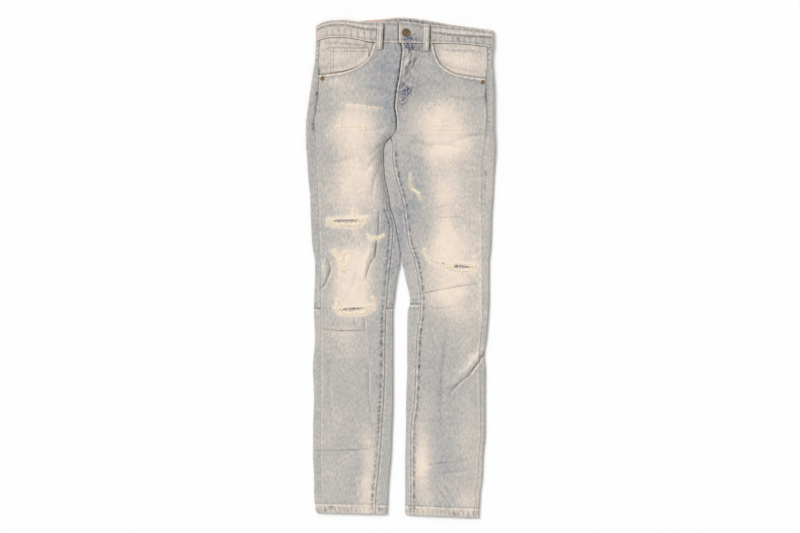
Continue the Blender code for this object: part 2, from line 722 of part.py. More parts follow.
def rip_middle(rip, t):
    """Place on the middle line of a rip."""
    return mix(rip.x0, rip.x1, t), mix(rip.y0, rip.y1, t) + rip.bow * math.sin(math.pi * t)


def open_rip(rip, panel):
    """Cut one rip through a front panel."""
    shares = [(1 - math.cos(math.pi * k / RIP_STEPS)) / 2 for k in range(RIP_STEPS + 1)]
    upper = [(x, y + rip_half_width(rip, t)) for t in shares for x, y in [rip_middle(rip, t)]]
    lower = [(x, y - rip_half_width(rip, t)) for t in shares[1:-1] for x, y in [rip_middle(rip, t)]]
    outline = upper + lower[::-1]
    cut(panel, add_prism(f"rip_cutter_{rip.name}", outline, *RIP_CUT))


def fringe(rip, part):
    """Frayed threads on one edge of a rip: a narrow strip just inside the edge, with loose strands."""
    up = 1 if part == "upper" else -1
    start, end = STRIP_SHARE
    shift = 0 if part == "upper" else 0.5
    length = math.hypot(rip.x1 - rip.x0, rip.y1 - rip.y0)
    half = STRAND_WIDTH / 2 / length
    pitches = STRANDS + 0.5
    roots = [mix(start, end, (k + STRAND_PITCH_START + shift) / pitches) for k in range(STRANDS)]
    stops = [start] + [edge for root in roots for edge in (root - half, root + half)] + [end]
    points, faces = [], []

    def corner(t, depth, sink):
        x, y = rip_middle(rip, t)
        y += up * (rip_half_width(rip, t) - STRIP_INSET - depth)
        points.append((x, y, top_height(rip.leg, x, y) - STRIP_SINK - sink))

    for t in stops:
        corner(t, 0, 0)
        corner(t, STRIP_WIDTH, 0)
        corner(t, STRIP_WIDTH, STRIP_DEPTH)
        corner(t, 0, STRIP_DEPTH)
    faces.append((0, 1, 2, 3))
    last = 4 * (len(stops) - 1)
    faces.append((last + 3, last + 2, last + 1, last))
    for k in range(len(stops) - 1):
        a, b = 4 * k, 4 * (k + 1)
        faces += [(a, b, b + 1, a + 1), (a + 3, a + 2, b + 2, b + 3), (a, a + 3, b + 3, b)]
        if k % 2 == 0:
            faces.append((a + 1, b + 1, b + 2, a + 2))
            continue
        number = k // 2
        room = 2 * (rip_half_width(rip, roots[number]) - STRIP_INSET - STRIP_WIDTH) - STRAND_CLEAR
        unevenness = (1 + math.cos(REACH_PHASE * number)) / 2
        reach = min(STRAND_REACH[part] * mix(*REACH_RANGE, unevenness), room)
        sway = STRAND_SWAY * math.sin(SWAY_PHASE * number)
        tip = len(points)
        corners = [a + 1, b + 1, b + 2, a + 2]
        tips = [tip, tip + 1, tip + 2, tip + 3]
        for root, inward in zip(corners, (1, -1, -1, 1)):
            x, y, z = points[root]
            points.append((x + sway + inward * STRAND_TAPER, y - up * reach, z - STRAND_DROP))
        for i in range(4):
            n = (i + 1) % 4
            faces.append((corners[i], corners[n], tips[n], tips[i]))
        faces.append(tuple(tips))
    return add_piece(f"fringe_{rip.name}_{part}", points, faces, "fray")


def facing_drop(side, x, y):
    """How far the facing lies below the front panel's upper face."""
    inside = min(math.hypot(x - a, y - b) for a, b in scoop_points(side, SCOOP_SAMPLES))
    past_start = OUTWARD[side] * (x - SCOOPS[side][0].x) > 0
    showing = inside if past_start and y > SCOOP_CURVES[side](x) else 0
    return FACING_DROP[side] * (1 - smooth_step(showing, DROP_FULL, DROP_NONE))


def facing_grid(side):
    """Upper face of a pocket facing, as columns from the side seam inwards."""
    leg = LEGS[side]
    outward = OUTWARD[side]
    upper = FACING_UPPER_ROW[side]
    columns = []
    for place in ("seam",) + FACING_COLUMNS[side]:
        column = []
        for k in range(FACING_ROWS + 2):
            x = leg.out_seam(upper) - outward * HALF_GAP if place == "seam" else place
            scoop_x = x if outward * (x - SCOOPS[side][1].x) > 0 else SCOOPS[side][1].x
            low = SCOOP_CURVES[side](scoop_x) - FACING_UNDER
            y = front_low(x) - FACING_GAP if k == 0 else mix(upper, low, (k - 1) / FACING_ROWS)
            if place == "seam":
                x = leg.out_seam(y) - outward * HALF_GAP
            column.append((x, y, top_height(side, x, y) - facing_drop(side, x, y)))
        columns.append(column)
    return columns


def pocket_facing(side):
    """The denim seen inside a front pocket opening."""
    grid = facing_grid(side)
    return add_wall(f"pocket_facing_{side}", grid, lowered(grid, FACING_CLOTH), "denim")


def coin_pocket():
    """The small pocket on the right facing, made from the facing's points."""
    first, last = COIN_SPAN
    grid = [column[1:-1] for column in facing_grid("right")[first:last + 1]]
    raised = lowered(grid, -SEAM_GAP - COIN_CLOTH)
    return add_wall("coin_pocket", raised, lowered(grid, -SEAM_GAP), "denim")


def loop_surface(x, y):
    """Height of what a front belt loop lies on."""
    side = "right" if x < 0 else "left"
    lap = BAND_LAP * lap_share(x) if side == "left" else 0
    return max(band_top(x, y) + lap, top_height(side, x, y))


def belt_loop(loop):
    """A belt loop, tacked at both ends. A front one arches over the band, a back one lies flat."""
    outer, inner = [], []
    for k in range(LOOP_STEPS + 1):
        share = k / LOOP_STEPS
        y = mix(loop.top, loop.low, share)
        middle = loop.x + loop.lean * (1 - 2 * share)
        if loop.face == "front":
            ground = max(loop_surface(middle + dx, y) for dx in (-LOOP_WIDTH / 2, 0, LOOP_WIDTH / 2))
            low = ground + LOOP_CLEAR + LOOP_ARCH * math.sin(math.pi * share)
        else:
            low = 0
        high = low + LOOP_CLOTH
        sides = (middle - LOOP_WIDTH / 2, middle + LOOP_WIDTH / 2)
        outer.append([(x, y, high) for x in sides])
        inner.append([(x, y, low) for x in sides])
    return add_wall(loop.name, outer, inner, "denim")


def back_pocket(pocket):
    """A patch pocket with a pointed base, its outer face on the surface."""
    outward = -1 if pocket.x < 0 else 1
    half = POCKET_TOP_WIDTH / 2
    outline = [
        (pocket.x + outward * half, pocket.top_outer),
        (pocket.x - outward * half, pocket.top_inner),
    ]
    for corner in POCKET_CORNERS:
        outline.append((pocket.x + outward * corner.across, pocket.top_inner - corner.down))
    return add_prism(pocket.name, outline, 0, POCKET_CLOTH)


def inner_label():
    """A small bare label on the inside of the back waistband."""
    grid = []
    for k in range(LABEL_STEPS + 1):
        x = mix(*LABEL_X, k / LABEL_STEPS)
        top = BAND_CURVES.back_top(x) - LABEL_INSET
        low = under_height(top) + BAND_CLOTH + SEAM_GAP + LABEL_CLOTH
        grid.append([(x, top - LABEL_HEIGHT, low), (x, top, low)])
    return add_wall("inner_label", grid, lowered(grid, LABEL_CLOTH), "label")


def button():
    """The shank button: a dished head over the band, and a shank through the buttonhole."""
    foot = band_top(*BUTTON_AT) + SEAM_GAP
    under = foot + BAND_LAP
    profile = [(0, foot), (SHANK_RADIUS, foot), (SHANK_RADIUS, under)]
    profile += [(step.radius, under + step.rise) for step in BUTTON_HEAD]
    piece = add_turned("button", profile, BUTTON_SIDES, "metal")
    piece.location = (BUTTON_AT[0] * MM, BUTTON_AT[1] * MM, 0)
    return piece


def rivet(side):
    """A domed pocket rivet at the outer end of a front pocket opening."""
    x, y = RIVETS[side]
    reach = (-RIVET_RADIUS, 0, RIVET_RADIUS)
    low = max(top_height(side, x + dx, y + dy) for dx in reach for dy in reach) + SEAM_GAP
    profile = [(0, low)] + [(step.radius, low + step.rise) for step in RIVET_HEAD]
    piece = add_turned(f"rivet_{side}", profile, RIVET_SIDES, "metal")
    piece.location = (x * MM, y * MM, 0)
    return piece


def clear_scene():
    for item in list(bpy.data.objects):
        bpy.data.objects.remove(item, do_unlink=True)


def build_jeans():
    clear_scene()
    for side in ("right", "left"):
        front = front_panel(side)
        open_front_pocket(side, front)
        for rip in RIPS:
            if rip.leg == side:
                open_rip(rip, front)
        back_thigh(side)
        back_calf(side)
        yoke(side)
        pocket_facing(side)
        rivet(side)
    coin_pocket()
    waistband()
    for loop in LOOPS:
        belt_loop(loop)
    for pocket in POCKETS:
        back_pocket(pocket)
    inner_label()
    button()
    for rip in RIPS:
        for part in ("upper", "lower"):
            fringe(rip, part)


build_jeans()
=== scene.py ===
"""Ripped slim jeans, laid flat with the front up.

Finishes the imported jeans: fine walls of bleached denim over each panel, creases and seam puckers,
stitching, worn patches with loose yarns, frayed rips and aged metal. Right and left are the wearer's.
The tables and the functions of height are in millimetres, and meshes are written in metres.
"""

import math
from collections import namedtuple

import bpy
import numpy as np
from bpy.props import FloatProperty, FloatVectorProperty, IntProperty, PointerProperty
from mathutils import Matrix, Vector


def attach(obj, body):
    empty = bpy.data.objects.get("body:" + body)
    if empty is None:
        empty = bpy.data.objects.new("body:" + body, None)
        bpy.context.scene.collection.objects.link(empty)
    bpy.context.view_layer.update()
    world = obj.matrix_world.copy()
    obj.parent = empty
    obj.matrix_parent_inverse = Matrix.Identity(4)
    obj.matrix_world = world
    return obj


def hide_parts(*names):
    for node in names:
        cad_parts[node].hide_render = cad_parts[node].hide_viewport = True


bl_info = {
    "name": "Ripped jeans",
    "version": (1, 0, 0),
    "blender": (4, 5, 0),
    "location": "View3D > Sidebar > Jeans",
    "description": "Cloth, stitching, fray and metal of flat-laid ripped jeans",
    "category": "Object",
}

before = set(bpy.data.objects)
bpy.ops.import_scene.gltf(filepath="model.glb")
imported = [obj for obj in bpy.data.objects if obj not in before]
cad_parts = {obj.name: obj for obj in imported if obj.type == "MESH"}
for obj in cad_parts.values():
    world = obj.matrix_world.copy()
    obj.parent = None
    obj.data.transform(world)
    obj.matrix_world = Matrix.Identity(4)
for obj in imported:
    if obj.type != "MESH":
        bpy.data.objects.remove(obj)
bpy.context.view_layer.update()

MM = 0.001
SIDES = ("right", "left")


def xyz(*columns):
    """Places from their x, y and z, which may be single values."""
    return np.stack(np.broadcast_arrays(*columns), -1)


def made_plain(piece):
    """A mesh of an object with its modifiers applied."""
    return bpy.data.meshes.new_from_object(piece.evaluated_get(bpy.context.evaluated_depsgraph_get()))


def new_mesh(name, places, faces):
    mesh = bpy.data.meshes.new(name)
    mesh.from_pydata(places, [], faces)
    return mesh


def linked(name, data):
    """A new object in the scene."""
    made = bpy.data.objects.new(name, data)
    bpy.context.scene.collection.objects.link(made)
    return made


# Cloth and gaps
CLOTH = 1.2  # thickness of one layer of denim
HEM_CLOTH = 2.1  # the turned-up hem, doubled
BAND_CLOTH = 2.0  # the waistband, doubled and faced
FACING_CLOTH = 1.0
COIN_CLOTH = 1.0
POCKET_CLOTH = 1.5  # a patch pocket with its turned edges
LOOP_CLOTH = 1.5
LABEL_CLOTH = 0.8
SEAM_GAP = 0.3  # between pieces that are sewn together
HALF_GAP = SEAM_GAP / 2
BAND_GAP = 0.5  # at the waist seam, whose curve the two sides follow with different facets
FACING_GAP = 0.9
YOKE_GAP = 0.8

# Heights of the flat-laid garment
SEAT_LIFT = 1.8  # back pockets and loops hold the seat this far off the surface
SEAT_FROM, SEAT_FULL = 212, 248
CROWN = 1.6  # the middle of a leg stands this much above its edges
CROWN_REACH = 18  # how far in from an edge the crown rises
LEAST_HEIGHT = 3.6  # two layers and the air between them
FLY_LIFT = 2.0  # the left front lies over the right one here
BAND_LAP = 2.4
FLY_END, FLY_FADE = 318, 300
LAP_FULL, LAP_FADE = 24, 52
BAND_PROUD = 0.3  # the band stands this much above the panels

WAIST_READ = 468
YOKE_SIDE_SEAM, YOKE_MIDDLE_SEAM = 432, 408
KNEE_SEAM = {"right": -85, "left": -76}
HEM_DEPTH = 17

Leg = namedtuple("Leg", "y outer out_seam in_seam inner")

# Plan of each leg, from the waist down: the outline at its outer edge, the side seam on the top side,
# the inner edge of the front panel, and the inner edge of the leg. Above the crotch the inner edge is
# the seat seam underneath, and the inner edge of the front panel is its fly or front seam.
RIGHT_LEG = [Leg(*row) for row in (
    (480, -177, -168, 8, 5), (452, -177.5, -169.5, 8, 5), (432, -179, -170.5, 8, 5),
    (400, -184, -171, 7, 4), (366, -189, -171.5, 4, 2), (333, -193.5, -176, 2, -2),
    (318, -195.5, -178.5, -8.5, -6), (300, -197.5, -181, -7.8, -10), (285, -197.5, -179, -9.4, -15),
    (278, -197.5, -178.2, -14.5, -18), (271, -197.5, -177.5, -23.5, -22),
    (263, -197.5, -177.2, -33.3, -28.1), (256, -197.5, -177, -39.3, -34),
    (233, -195.5, -176, -40.7, -35.3), (191, -193.3, -174.5, -38.6, -33.2),
    (149, -189, -172, -30.2, -24.8), (122, -188, -171, -26.6, -21.2), (106, -187.5, -170.5, -20.2, -14.5),
    (85, -186.5, -170, -15.7, -10), (53, -185, -169.3, -17, -3.8), (30, -181.5, -168, -19, -0.5),
    (11, -178.7, -167.3, -20.7, -1), (-20, -178.7, -166.6, -24, -7), (-72, -180.8, -166.5, -28.6, -13.6),
    (-93, -180.8, -166.5, -30.3, -15.7), (-145, -179, -166, -31.8, -15.7),
    (-212, -182.9, -166, -32.6, -15.7), (-273, -180.8, -166, -34.9, -15.7),
    (-340, -182.9, -167, -39.1, -17.8), (-394, -182.9, -167, -42.8, -19.9),
    (-440, -180.8, -166, -47.4, -24), (-473, -180.8, -165, -50.6, -26.1), (-512, -176.6, -163, -52, -28.2))]
LEFT_LEG = [Leg(*row) for row in (
    (480, 194, 183, -2, 5.3), (452, 192, 181, 4.4, 5.3), (432, 191.2, 180.5, 2, 5.3),
    (400, 193.5, 179, -2, 4.3), (366, 195.4, 178, -8, 2.3), (333, 195.4, 180, -11, -1.7),
    (318, 195.4, 180.6, -8.2, -5.7), (300, 195.5, 179.8, -7.5, -9.7), (285, 196, 178, -9.1, -14.7),
    (278, 196.4, 177.5, -14.2, -17.7), (271, 196.8, 177, -19.6, -21.7), (263, 197.2, 176, -17.2, -27.6),
    (256, 197.5, 175, -16.1, -33.4), (233, 197.5, 172, -16.7, -34.7), (191, 195.4, 169.5, -10.2, -32.6),
    (149, 193.3, 169, 1.7, -24.2), (122, 191.5, 169.5, 6.9, -20.6), (106, 190.4, 170, 8.9, -13.9),
    (85, 190, 170.5, 11.9, -9.4), (53, 189, 171, 16.7, -3), (30, 187, 171.5, 24, 0.5),
    (11, 185, 172, 30.3, 3.1), (-20, 185, 172, 36.2, 9.4), (-72, 185, 172, 42, 19.9),
    (-93, 183.9, 172, 41.4, 14.6), (-145, 179.7, 168, 34.5, 13.6), (-185, 174.6, 165, 32.6, 13.6),
    (-212, 176.8, 166, 32, 13.6), (-273, 176.6, 167, 29.5, 11.5), (-340, 176.6, 167.5, 22, 11),
    (-394, 172.4, 164, 21.5, 9.4), (-440, 170.3, 161.5, 21.5, 9.4), (-473, 166.2, 157.5, 21.5, 9.4),
    (-515, 163.4, 153.5, 21.5, 9.4))]
HEM_ENDS = {"right": (-511, -514), "left": (-521.8, -515.2)}  # the hem's y at the outer and inner edge

Band = namedtuple("Band", "x front_top front_low back_top back_low")

# Upper and lower edge of the waistband, on the front that shows and on the back underneath
BAND_EDGES = [Band(*row) for row in (
    (-178, 503, 471, 503, 471), (-164, 511, 476.5, 505, 471.5), (-150, 515, 480, 507, 472),
    (-117, 517, 480, 510.5, 473.5), (-91, 514, 476.5, 513.5, 476), (-64, 512.5, 471.5, 516.5, 479),
    (-30, 513, 470, 519.5, 482), (0, 513, 469, 522, 484), (47, 508, 468.5, 517.5, 480),
    (85, 504.5, 468, 511, 473.5), (124, 501, 467, 504.5, 467), (160, 497, 463.5, 500, 462),
    (195, 493, 459, 495, 459))]
BAND_UNDER_END = 20  # the right end of the band, under the left one
BAND_OVER_END = -3  # the left end of the band, on top

BAND_TURN_Y = 480
BAND_TURN_TOP, BAND_TURN_UNDER = 4, 8
TURN_FOLLOWS_BACK = 0.6

Height = namedtuple("Height", "y edge")

# Height of a leg's rounded edge above its underside
EDGE_HEIGHTS = [Height(-525, 5.2), Height(-494, 5.2), Height(-470, 4.5), Height(180, 4.5), Height(330, 5.2)]

Climb = namedtuple("Climb", "y share")

# How far the back panels have wrapped up round the inner edge at the crotch
CLIMBS = [Climb(285, 0), Climb(278, 0.15), Climb(271, 0.3), Climb(263, 1)]

Fold = namedtuple("Fold", "leg x0 y0 x1 y1 height reach")

# The largest folds of the cloth that lies on top: ridges, and troughs with a height below zero
FOLDS = [Fold(*row) for row in (
    ("right", -40, 118, -62, -6, 1.5, 12), ("right", -160, 16, -150, -28, 2.0, 13),
    ("right", -160, -130, -76, -127, -1.0, 12), ("right", -172, -381, -50, -376, -0.9, 13),
    ("right", -146, -235, -118, -330, 0.9, 20), ("right", -70, 352, -165, 318, 1.0, 18),
    ("right", -20, 288, -52, 225, 1.1, 15), ("left", 46, -54, 160, -35, -1.1, 11),
    ("left", 172, -188, 108, -250, 2.3, 13), ("left", 162, -166, 112, -214, -1.1, 12),
    ("left", 62, -412, 155, -425, -1.0, 12), ("left", 60, 335, 182, 296, 1.0, 18),
    ("left", 44, 196, 150, 244, 0.9, 20), ("left", 14, 462, 6, 396, 1.2, 12),
    ("left", 60, -120, 95, -190, 0.9, 16))]

FOLD_END = 0.55  # a fold's height at its ends, as a share of its middle

Scoop = namedtuple("Scoop", "x y")

# Curved edge of each front pocket opening, from the waistband to the side seam
SCOOPS = {
    "right": [Scoop(*row) for row in (
        (-52.5, 476), (-58, 459), (-64.5, 442), (-79, 426), (-98, 415),
        (-122, 407), (-146, 403.5), (-176, 401))],
    "left": [Scoop(*row) for row in (
        (66, 472), (69, 459), (74, 440), (83.5, 423), (99, 411),
        (117, 403), (138, 399), (157, 396), (185, 393))],
}
SCOOP_CORNER = {"right": (-176, 500), "left": (187, 490)}

FACING_END = {"right": -46, "left": 61}  # inner side of the facing

FACING_UNDER = 13  # the facing reaches this far under the front
FACING_DROP = {"right": 3.1, "left": 1.7}
DROP_FULL, DROP_NONE = 8, 24

COIN_X = (-149, -80)
COIN_TOP, COIN_LOW = 460, 408
COIN_ROWS = (2.4, 9.0)  # its double stitching, from the edge

Rip = namedtuple("Rip", "name leg x0 y0 x1 y1 width bow")

# Rips that are open: a lens between two ends, bowed across its middle
RIPS = [
    Rip("thigh_right", "right", -148, 98.5, -74, 99.5, 11, -3),
    Rip("knee_right", "right", -134, -87.5, -62, -84.5, 10, -1.5),
    Rip("knee_left", "left", 82, 10.5, 156, 1, 10, -4),
]

RIP_BLUNTNESS = 0.6

Loop = namedtuple("Loop", "name x top low face lean")

LOOPS = [
    Loop("belt_loop_front_right", -42.8, 509, 455, "front", 1.5),
    Loop("belt_loop_front_left", 54.3, 506, 452, "front", 0.5),
    Loop("belt_loop_back_right", -118, 507, 456, "back", 0),
    Loop("belt_loop_back_centre", 5, 518, 467, "back", 0),
    Loop("belt_loop_back_left", 126, 501, 453.5, "back", 0),
]
LOOP_WIDTH = 12
LOOP_ARCH = 1.6

LOOP_CLEAR = 0.4

Pocket = namedtuple("Pocket", "name x top_outer top_inner")
Corner = namedtuple("Corner", "across down")

POCKETS = [
    Pocket("back_pocket_right", -94, 404, 397),
    Pocket("back_pocket_left", 98, 404, 397),
]
POCKET_TOP_WIDTH = 140
POCKET_CORNERS = [Corner(-58, 124), Corner(-52, 129), Corner(0, 141), Corner(52, 129), Corner(58, 124)]

FLOOR_GAP = 0.25  # the floor lies this far below the jeans
STITCH_LIFT = 0.12  # top stitches' middle above the cloth
UNDER_STITCH_LIFT = 0.25
HEM_STITCH = HEM_DEPTH - 2.6
SLANT_FROM = 378  # above this a back thigh's rows slant like the yoke seam
YOKE_DEPTH = 60  # sets how many rows a yoke has
FRONT_WIDTH = 190  # sets how many columns a front panel has
HEM_READ = -505.0  # where a leg's edges are read for its hem stitching

# Stage, in metres and degrees
CAMERA_AT = (-0.00105, 0.00209, 4.644)
CAMERA_LENS, CAMERA_SENSOR = 100, 36
KEY_HEADING = (0.62, -0.5, -0.62)
KEY_ANGLE = 24

# Label, button and cuts

LABEL_X = (-69, -31)
LABEL_HEIGHT = 21
LABEL_INSET = 1.5

BUTTON_AT = (11.5, 490)
BUTTONHOLE_RADIUS = 3.3
BUTTONHOLE_END = (32, 488.5)
SCOOP_CUT = (2.2, 20)
RIP_CUT = (2.2, 16)


def side_rows(kind, right, left):
    """A table's rows for the right leg and for the left."""
    return [kind("right", *row) for row in right] + [kind("left", *row) for row in left]


Crease = namedtuple("Crease", "leg x0 y0 x1 y1 bow depth reach tint")

# Sharper creases of the upper cloth: troughs below zero and ridges above, bowed at the middle. Tint sets the
# indigo left in a crease and the painted shade along its bottom
CREASES = side_rows(Crease, [
    (-46, 112, -47, 70, 0, -0.9, 2.6, 0.8), (-50, 57, -54, 22, 0, -1.4, 3.0, 1.0),
    (-54, 24, -72, -20, 3, -1.2, 3.0, 0.7), (-57, 60, -78, -20, 3, 1.0, 4.5, 0),
    (-167, 26, -152, 20, 0, -0.5, 3.4, 0.1), (-154, 20, -147, -2, -1, -0.9, 3.2, 0.35),
    (-147, -2, -153, -22, -1, -1.2, 3.2, 0.8), (-153, -22, -169, -44, -3, -1.0, 3.2, 0.55),
    (-158, 16, -157, -20, 3, 0.9, 6, 0), (-160, -129, -76, -131, 2, -0.7, 2.6, 0.4),
    (-76, -112, -75, -131, 0, -0.8, 2.6, 0.45), (-96, -104, -96, -120, 0, -0.5, 2.2, 0.35),
    (-170, -381, -60, -377, 3, -0.8, 2.8, 0.4), (-170, -392, -110, -388, 0, -0.4, 3, 0.12),
    (-120, -70, -92, -10, 5, -0.4, 4, 0.06), (-128, -30, -104, 30, 0, 0.5, 5, 0),
    (-64, -170, -60, -330, 5, -0.6, 5, 0.25), (-70, -150, -66, -300, -4, 0.5, 6, 0),
    (-150, -200, -142, -330, 4, -0.4, 5, 0.12), (-172, -20, -168, -120, 0, 0.6, 4, 0),
    (-38, 256, -62, 236, 2, -0.8, 4, 0.25), (-40, 240, -70, 205, 3, -0.8, 5, 0.3),
    (-42, 214, -60, 160, 3, -0.8, 5, 0.35), (-28, 298, -78, 286, -3, -0.5, 5, 0.12),
    (-24, 330, -90, 344, 3, -0.5, 6, 0.1), (-12, 360, -70, 378, 4, -0.5, 6, 0.12),
    (-8, 402, -50, 412, 3, -0.5, 5, 0.12), (-176, 322, -120, 330, -3, -0.5, 5, 0.12),
    (-172, 182, -120, 176, 3, -0.4, 5, 0.1), (-150, 218, -104, 232, 3, -0.4, 6, 0.1),
    (-66, -450, -48, -476, 0, -0.5, 3, 0.2), (-96, -440, -88, -488, 2, -0.4, 4, 0.12)],
    [
    (45, -54, 82, -47, 0, -0.8, 2.4, 0.5), (82, -47, 160, -34, -1, -0.7, 2.4, 0.35),
    (176, -176, 167, -191, 0, -1.6, 2.8, 1.0), (167, -191, 142, -225, 0, -1.7, 3.0, 0.95),
    (142, -225, 106, -258, 2, -1.2, 3.4, 0.5), (176, -164, 134, -214, 0, 1.2, 6, 0),
    (60, -413, 120, -406, -2, -0.6, 2.8, 0.24), (120, -406, 158, -396, 0, -0.4, 3, 0.12),
    (70, -428, 150, -420, 3, -0.5, 4, 0.15), (66, -462, 84, -494, 0, -0.6, 2.6, 0.3),
    (76, -456, 100, -492, 0, -0.6, 2.6, 0.3), (90, -452, 112, -484, 0, -0.5, 3, 0.2),
    (60, -84, 120, -80, 3, -0.5, 3, 0.15), (30, 270, 70, 252, 4, -0.6, 5, 0.15),
    (14, 236, 60, 214, -4, -0.5, 5, 0.15), (8, 210, 30, 170, 3, -0.5, 5, 0.15),
    (110, 262, 182, 280, -4, -0.6, 6, 0.15), (60, 256, 128, 250, -4, -0.5, 5, 0.12),
    (66, 124, 112, 132, 0, -0.4, 3, 0.15), (74, 102, 128, 104, -2, -0.5, 2.6, 0.25),
    (6, 462, 17, 446, 0, 1.2, 2.8, 0), (17, 446, 8, 416, -3, 1.2, 2.8, 0),
    (8, 416, 5, 390, 0, 1.0, 2.6, 0), (22, 450, 13, 412, -4, -1.0, 2.8, 0.7),
    (36, 440, 19, 410, 0, -1.0, 4, 0.45), (14, 462, 44, 452, 2, -0.9, 4, 0.5),
    (12, 420, 26, 396, 0, -0.8, 4, 0.5), (2, 390, 20, 372, 2, -0.9, 4, 0.6),
    (-4, 366, 14, 352, 0, -0.7, 4, 0.5), (1, 430, 24, 458, 2, -1.0, 2.8, 0.5),
    (3, 414, 30, 440, -2, 0.9, 3, 0), (3, 396, 30, 432, 3, -1.0, 3, 0.5),
    (5, 350, 26, 376, 2, -0.9, 2.6, 0.6), (0, 364, 20, 384, -2, 0.8, 2.6, 0),
    (44, 404, 110, 380, 6, -0.5, 7, 0.12), (90, 366, 160, 350, 5, -0.5, 7, 0.12),
    (168, -20, 170, -120, 0, 0.5, 4, 0), (60, -110, 74, -170, 3, -0.4, 6, 0.12),
    (96, -140, 84, -330, 6, -0.4, 8, 0.15)])

Tone = namedtuple("Tone", "leg x y wide high strength")

# Where the wash has taken the colour out, and where less of it has gone. The row at (-24, 40) on the right
# leg is painted shade in the wedge where the legs meet
FADES = side_rows(Tone, [
    (-92, 236, 50, 84, 0.6), (-102, 312, 44, 36, 0.5), (-118, 278, 40, 28, 0.2), (-56, 284, 20, 34, 0.25),
    (-98, 150, 46, 60, 0.5), (-150, 130, 30, 60, 0.14), (-98, -6, 44, 66, 1.0), (-98, -66, 40, 30, 0.5),
    (-118, -140, 50, 60, 0.3), (-65, -405, 17, 100, 0.56), (-78, -480, 20, 44, 0.36),
    (-136, -340, 40, 160, 0.16), (-128, 388, 44, 26, 0.34), (-150, 440, 40, 60, 0.1),
    # painted shade: the row at (-24, 40) darkens the wedge where the legs meet
    (-60, 190, 16, 90, 0.06), (-34, 370, 28, 90, -0.42), (-24, 40, 18, 80, -0.4),
    (-182, 190, 14, 160, -0.2), (-152, 352, 26, 30, -0.1), (-42, -190, 16, 130, -0.1)],
    [
    (84, 300, 54, 56, 0.88), (112, 258, 48, 40, 0.36), (98, 150, 38, 100, 0.72), (96, 40, 46, 42, 0.7),
    (98, -48, 44, 56, 0.75), (138, -40, 40, 80, 0.2), (184, 190, 14, 90, 0.3), (170, -430, 12, 90, 0.3),
    (58, 236, 24, 26, 0.2), (46, -405, 20, 98, 0.7), (66, -474, 20, 30, 0.06), (140, -400, 26, 110, 0.3),
    (146, -180, 36, 90, 0.28), (34, 150, 24, 90, -0.2), (166, 10, 14, 130, 0.26),
    (130, -495, 36, 30, 0.25), (196, 420, 12, 50, 0.4), (0, 80, 16, 90, -0.35), (152, 120, 24, 110, 0.22),
    (92, -300, 26, 110, -0.14), (62, 380, 60, 26, -0.16), (150, 384, 40, 18, -0.1)])
INDIGOS = side_rows(Tone, [
    (-175, 360, 3, 17, 0.9), (-178, 335, 3, 16, 0.6), (-183, 297, 3, 14, 0.75), (-183, -81, 4, 9, 0.75),
    (-16, 300, 8, 16, 0.3), (-8, 420, 5, 50, 0.35), (-22, 128, 5, 22, 0.45), (-18, 92, 7, 30, 0.2)],
    [
    (19, 462, 17, 13, 1.2), (40, 457, 12, 8, 0.6), (26, 430, 11, 17, 0.6), (12, 403, 13, 17, 0.45),
    (10, 369, 14, 16, 1.15), (4, 348, 11, 14, 0.8), (30, 380, 12, 20, 0.3), (-2, 336, 6, 14, 0.4),
    (177, 357, 3.5, 13, 0.8), (178, 196, 4, 7, 0.5), (176, 168, 4, 9, 0.4)])

# Where piles of loose weft show: along a line, with its width and bow
Worn = namedtuple("Worn", "leg x0 y0 x1 y1 width bow")
WORN = side_rows(Worn, [
    (-155, 95, -138, 93, 14, -1), (-140, 89, -84, 90, 6, -1), (-92, 100, -67, 104, 9, -1.5),
    (-98, 122, -96, 106, 2.4, 0), (-97, 86, -96, 68, 2.4, 0), (-68, 65, -34, 68, 7.5, -6),
    (-137, -80, -122, -90, 8, 0), (-128, -96, -74, -93, 6.5, -1), (-84, -92, -57, -82, 13, -1),
    (-58, -62, -52, -82, 2.4, 2), (-132, -66, -125, -84, 2.6, 0), (-140, 36, -124, 18, 9, 0),
    (-114, 34, -125, 17, 5, 0), (-125, 20, -121, -10, 11, 2), (-110, 338, -38, 332, 1.8, -1),
    (-124, 318, -122, 294, 2.2, 0), (-132, 294, -72, 294, 1.6, 0), (-76, 294, -77, 274, 2.0, 0)],
    [
    (20, 194, 25, 164, 4, -2), (25, 164, 38, 154, 5, 0), (38, 154, 45, 140, 3, -2),
    (48, 36, 80, 10, 4, -7), (92, 7, 112, 1, 9, 0), (112, 7, 152, 6, 3.4, 0), (144, 3, 156, 2, 7.5, 0),
    (102, -4, 148, -6, 2.4, -2), (127, -6, 128, -18, 2.6, 0), (154, 22, 155, 18, 2.4, 0),
    (70, 296, 100, 297, 1.8, 0), (70, 289, 122, 288, 1.8, -1)])


def ease(value, start, end):
    share = np.clip((value - start) / (end - start), 0, 1)
    return share * share * (3 - 2 * share)


def mix(a, b, share):
    return a + (b - a) * share


def bump(distance, middle, reach):
    """A soft hill across a distance, 1 at its middle."""
    return np.exp(-((distance - middle) / reach) ** 2)


class Curve:
    """A smooth curve through a table's rows, which never swings past them."""

    def __init__(self, rows, place, value):
        pairs = sorted((getattr(row, place), getattr(row, value)) for row in rows)
        self.places, self.values = (np.array(column, float) for column in zip(*pairs))
        rises = np.diff(self.values) / np.diff(self.places)
        inner = [2 * a * b / (a + b) if a * b > 0 else 0 for a, b in zip(rises, rises[1:])]
        self.slopes = np.array([rises[0], *inner, rises[-1]])

    def __call__(self, place):
        place = np.clip(place, self.places[0], self.places[-1])
        i = np.clip(np.searchsorted(self.places, place, side="right") - 1, 0, len(self.places) - 2)
        span = self.places[i + 1] - self.places[i]
        t = (place - self.places[i]) / span
        return (
            self.values[i] * (1 + 2 * t) * (1 - t) ** 2
            + self.values[i + 1] * t * t * (3 - 2 * t)
            + span * t * (1 - t) * (self.slopes[i] * (1 - t) - self.slopes[i + 1] * t)
        )


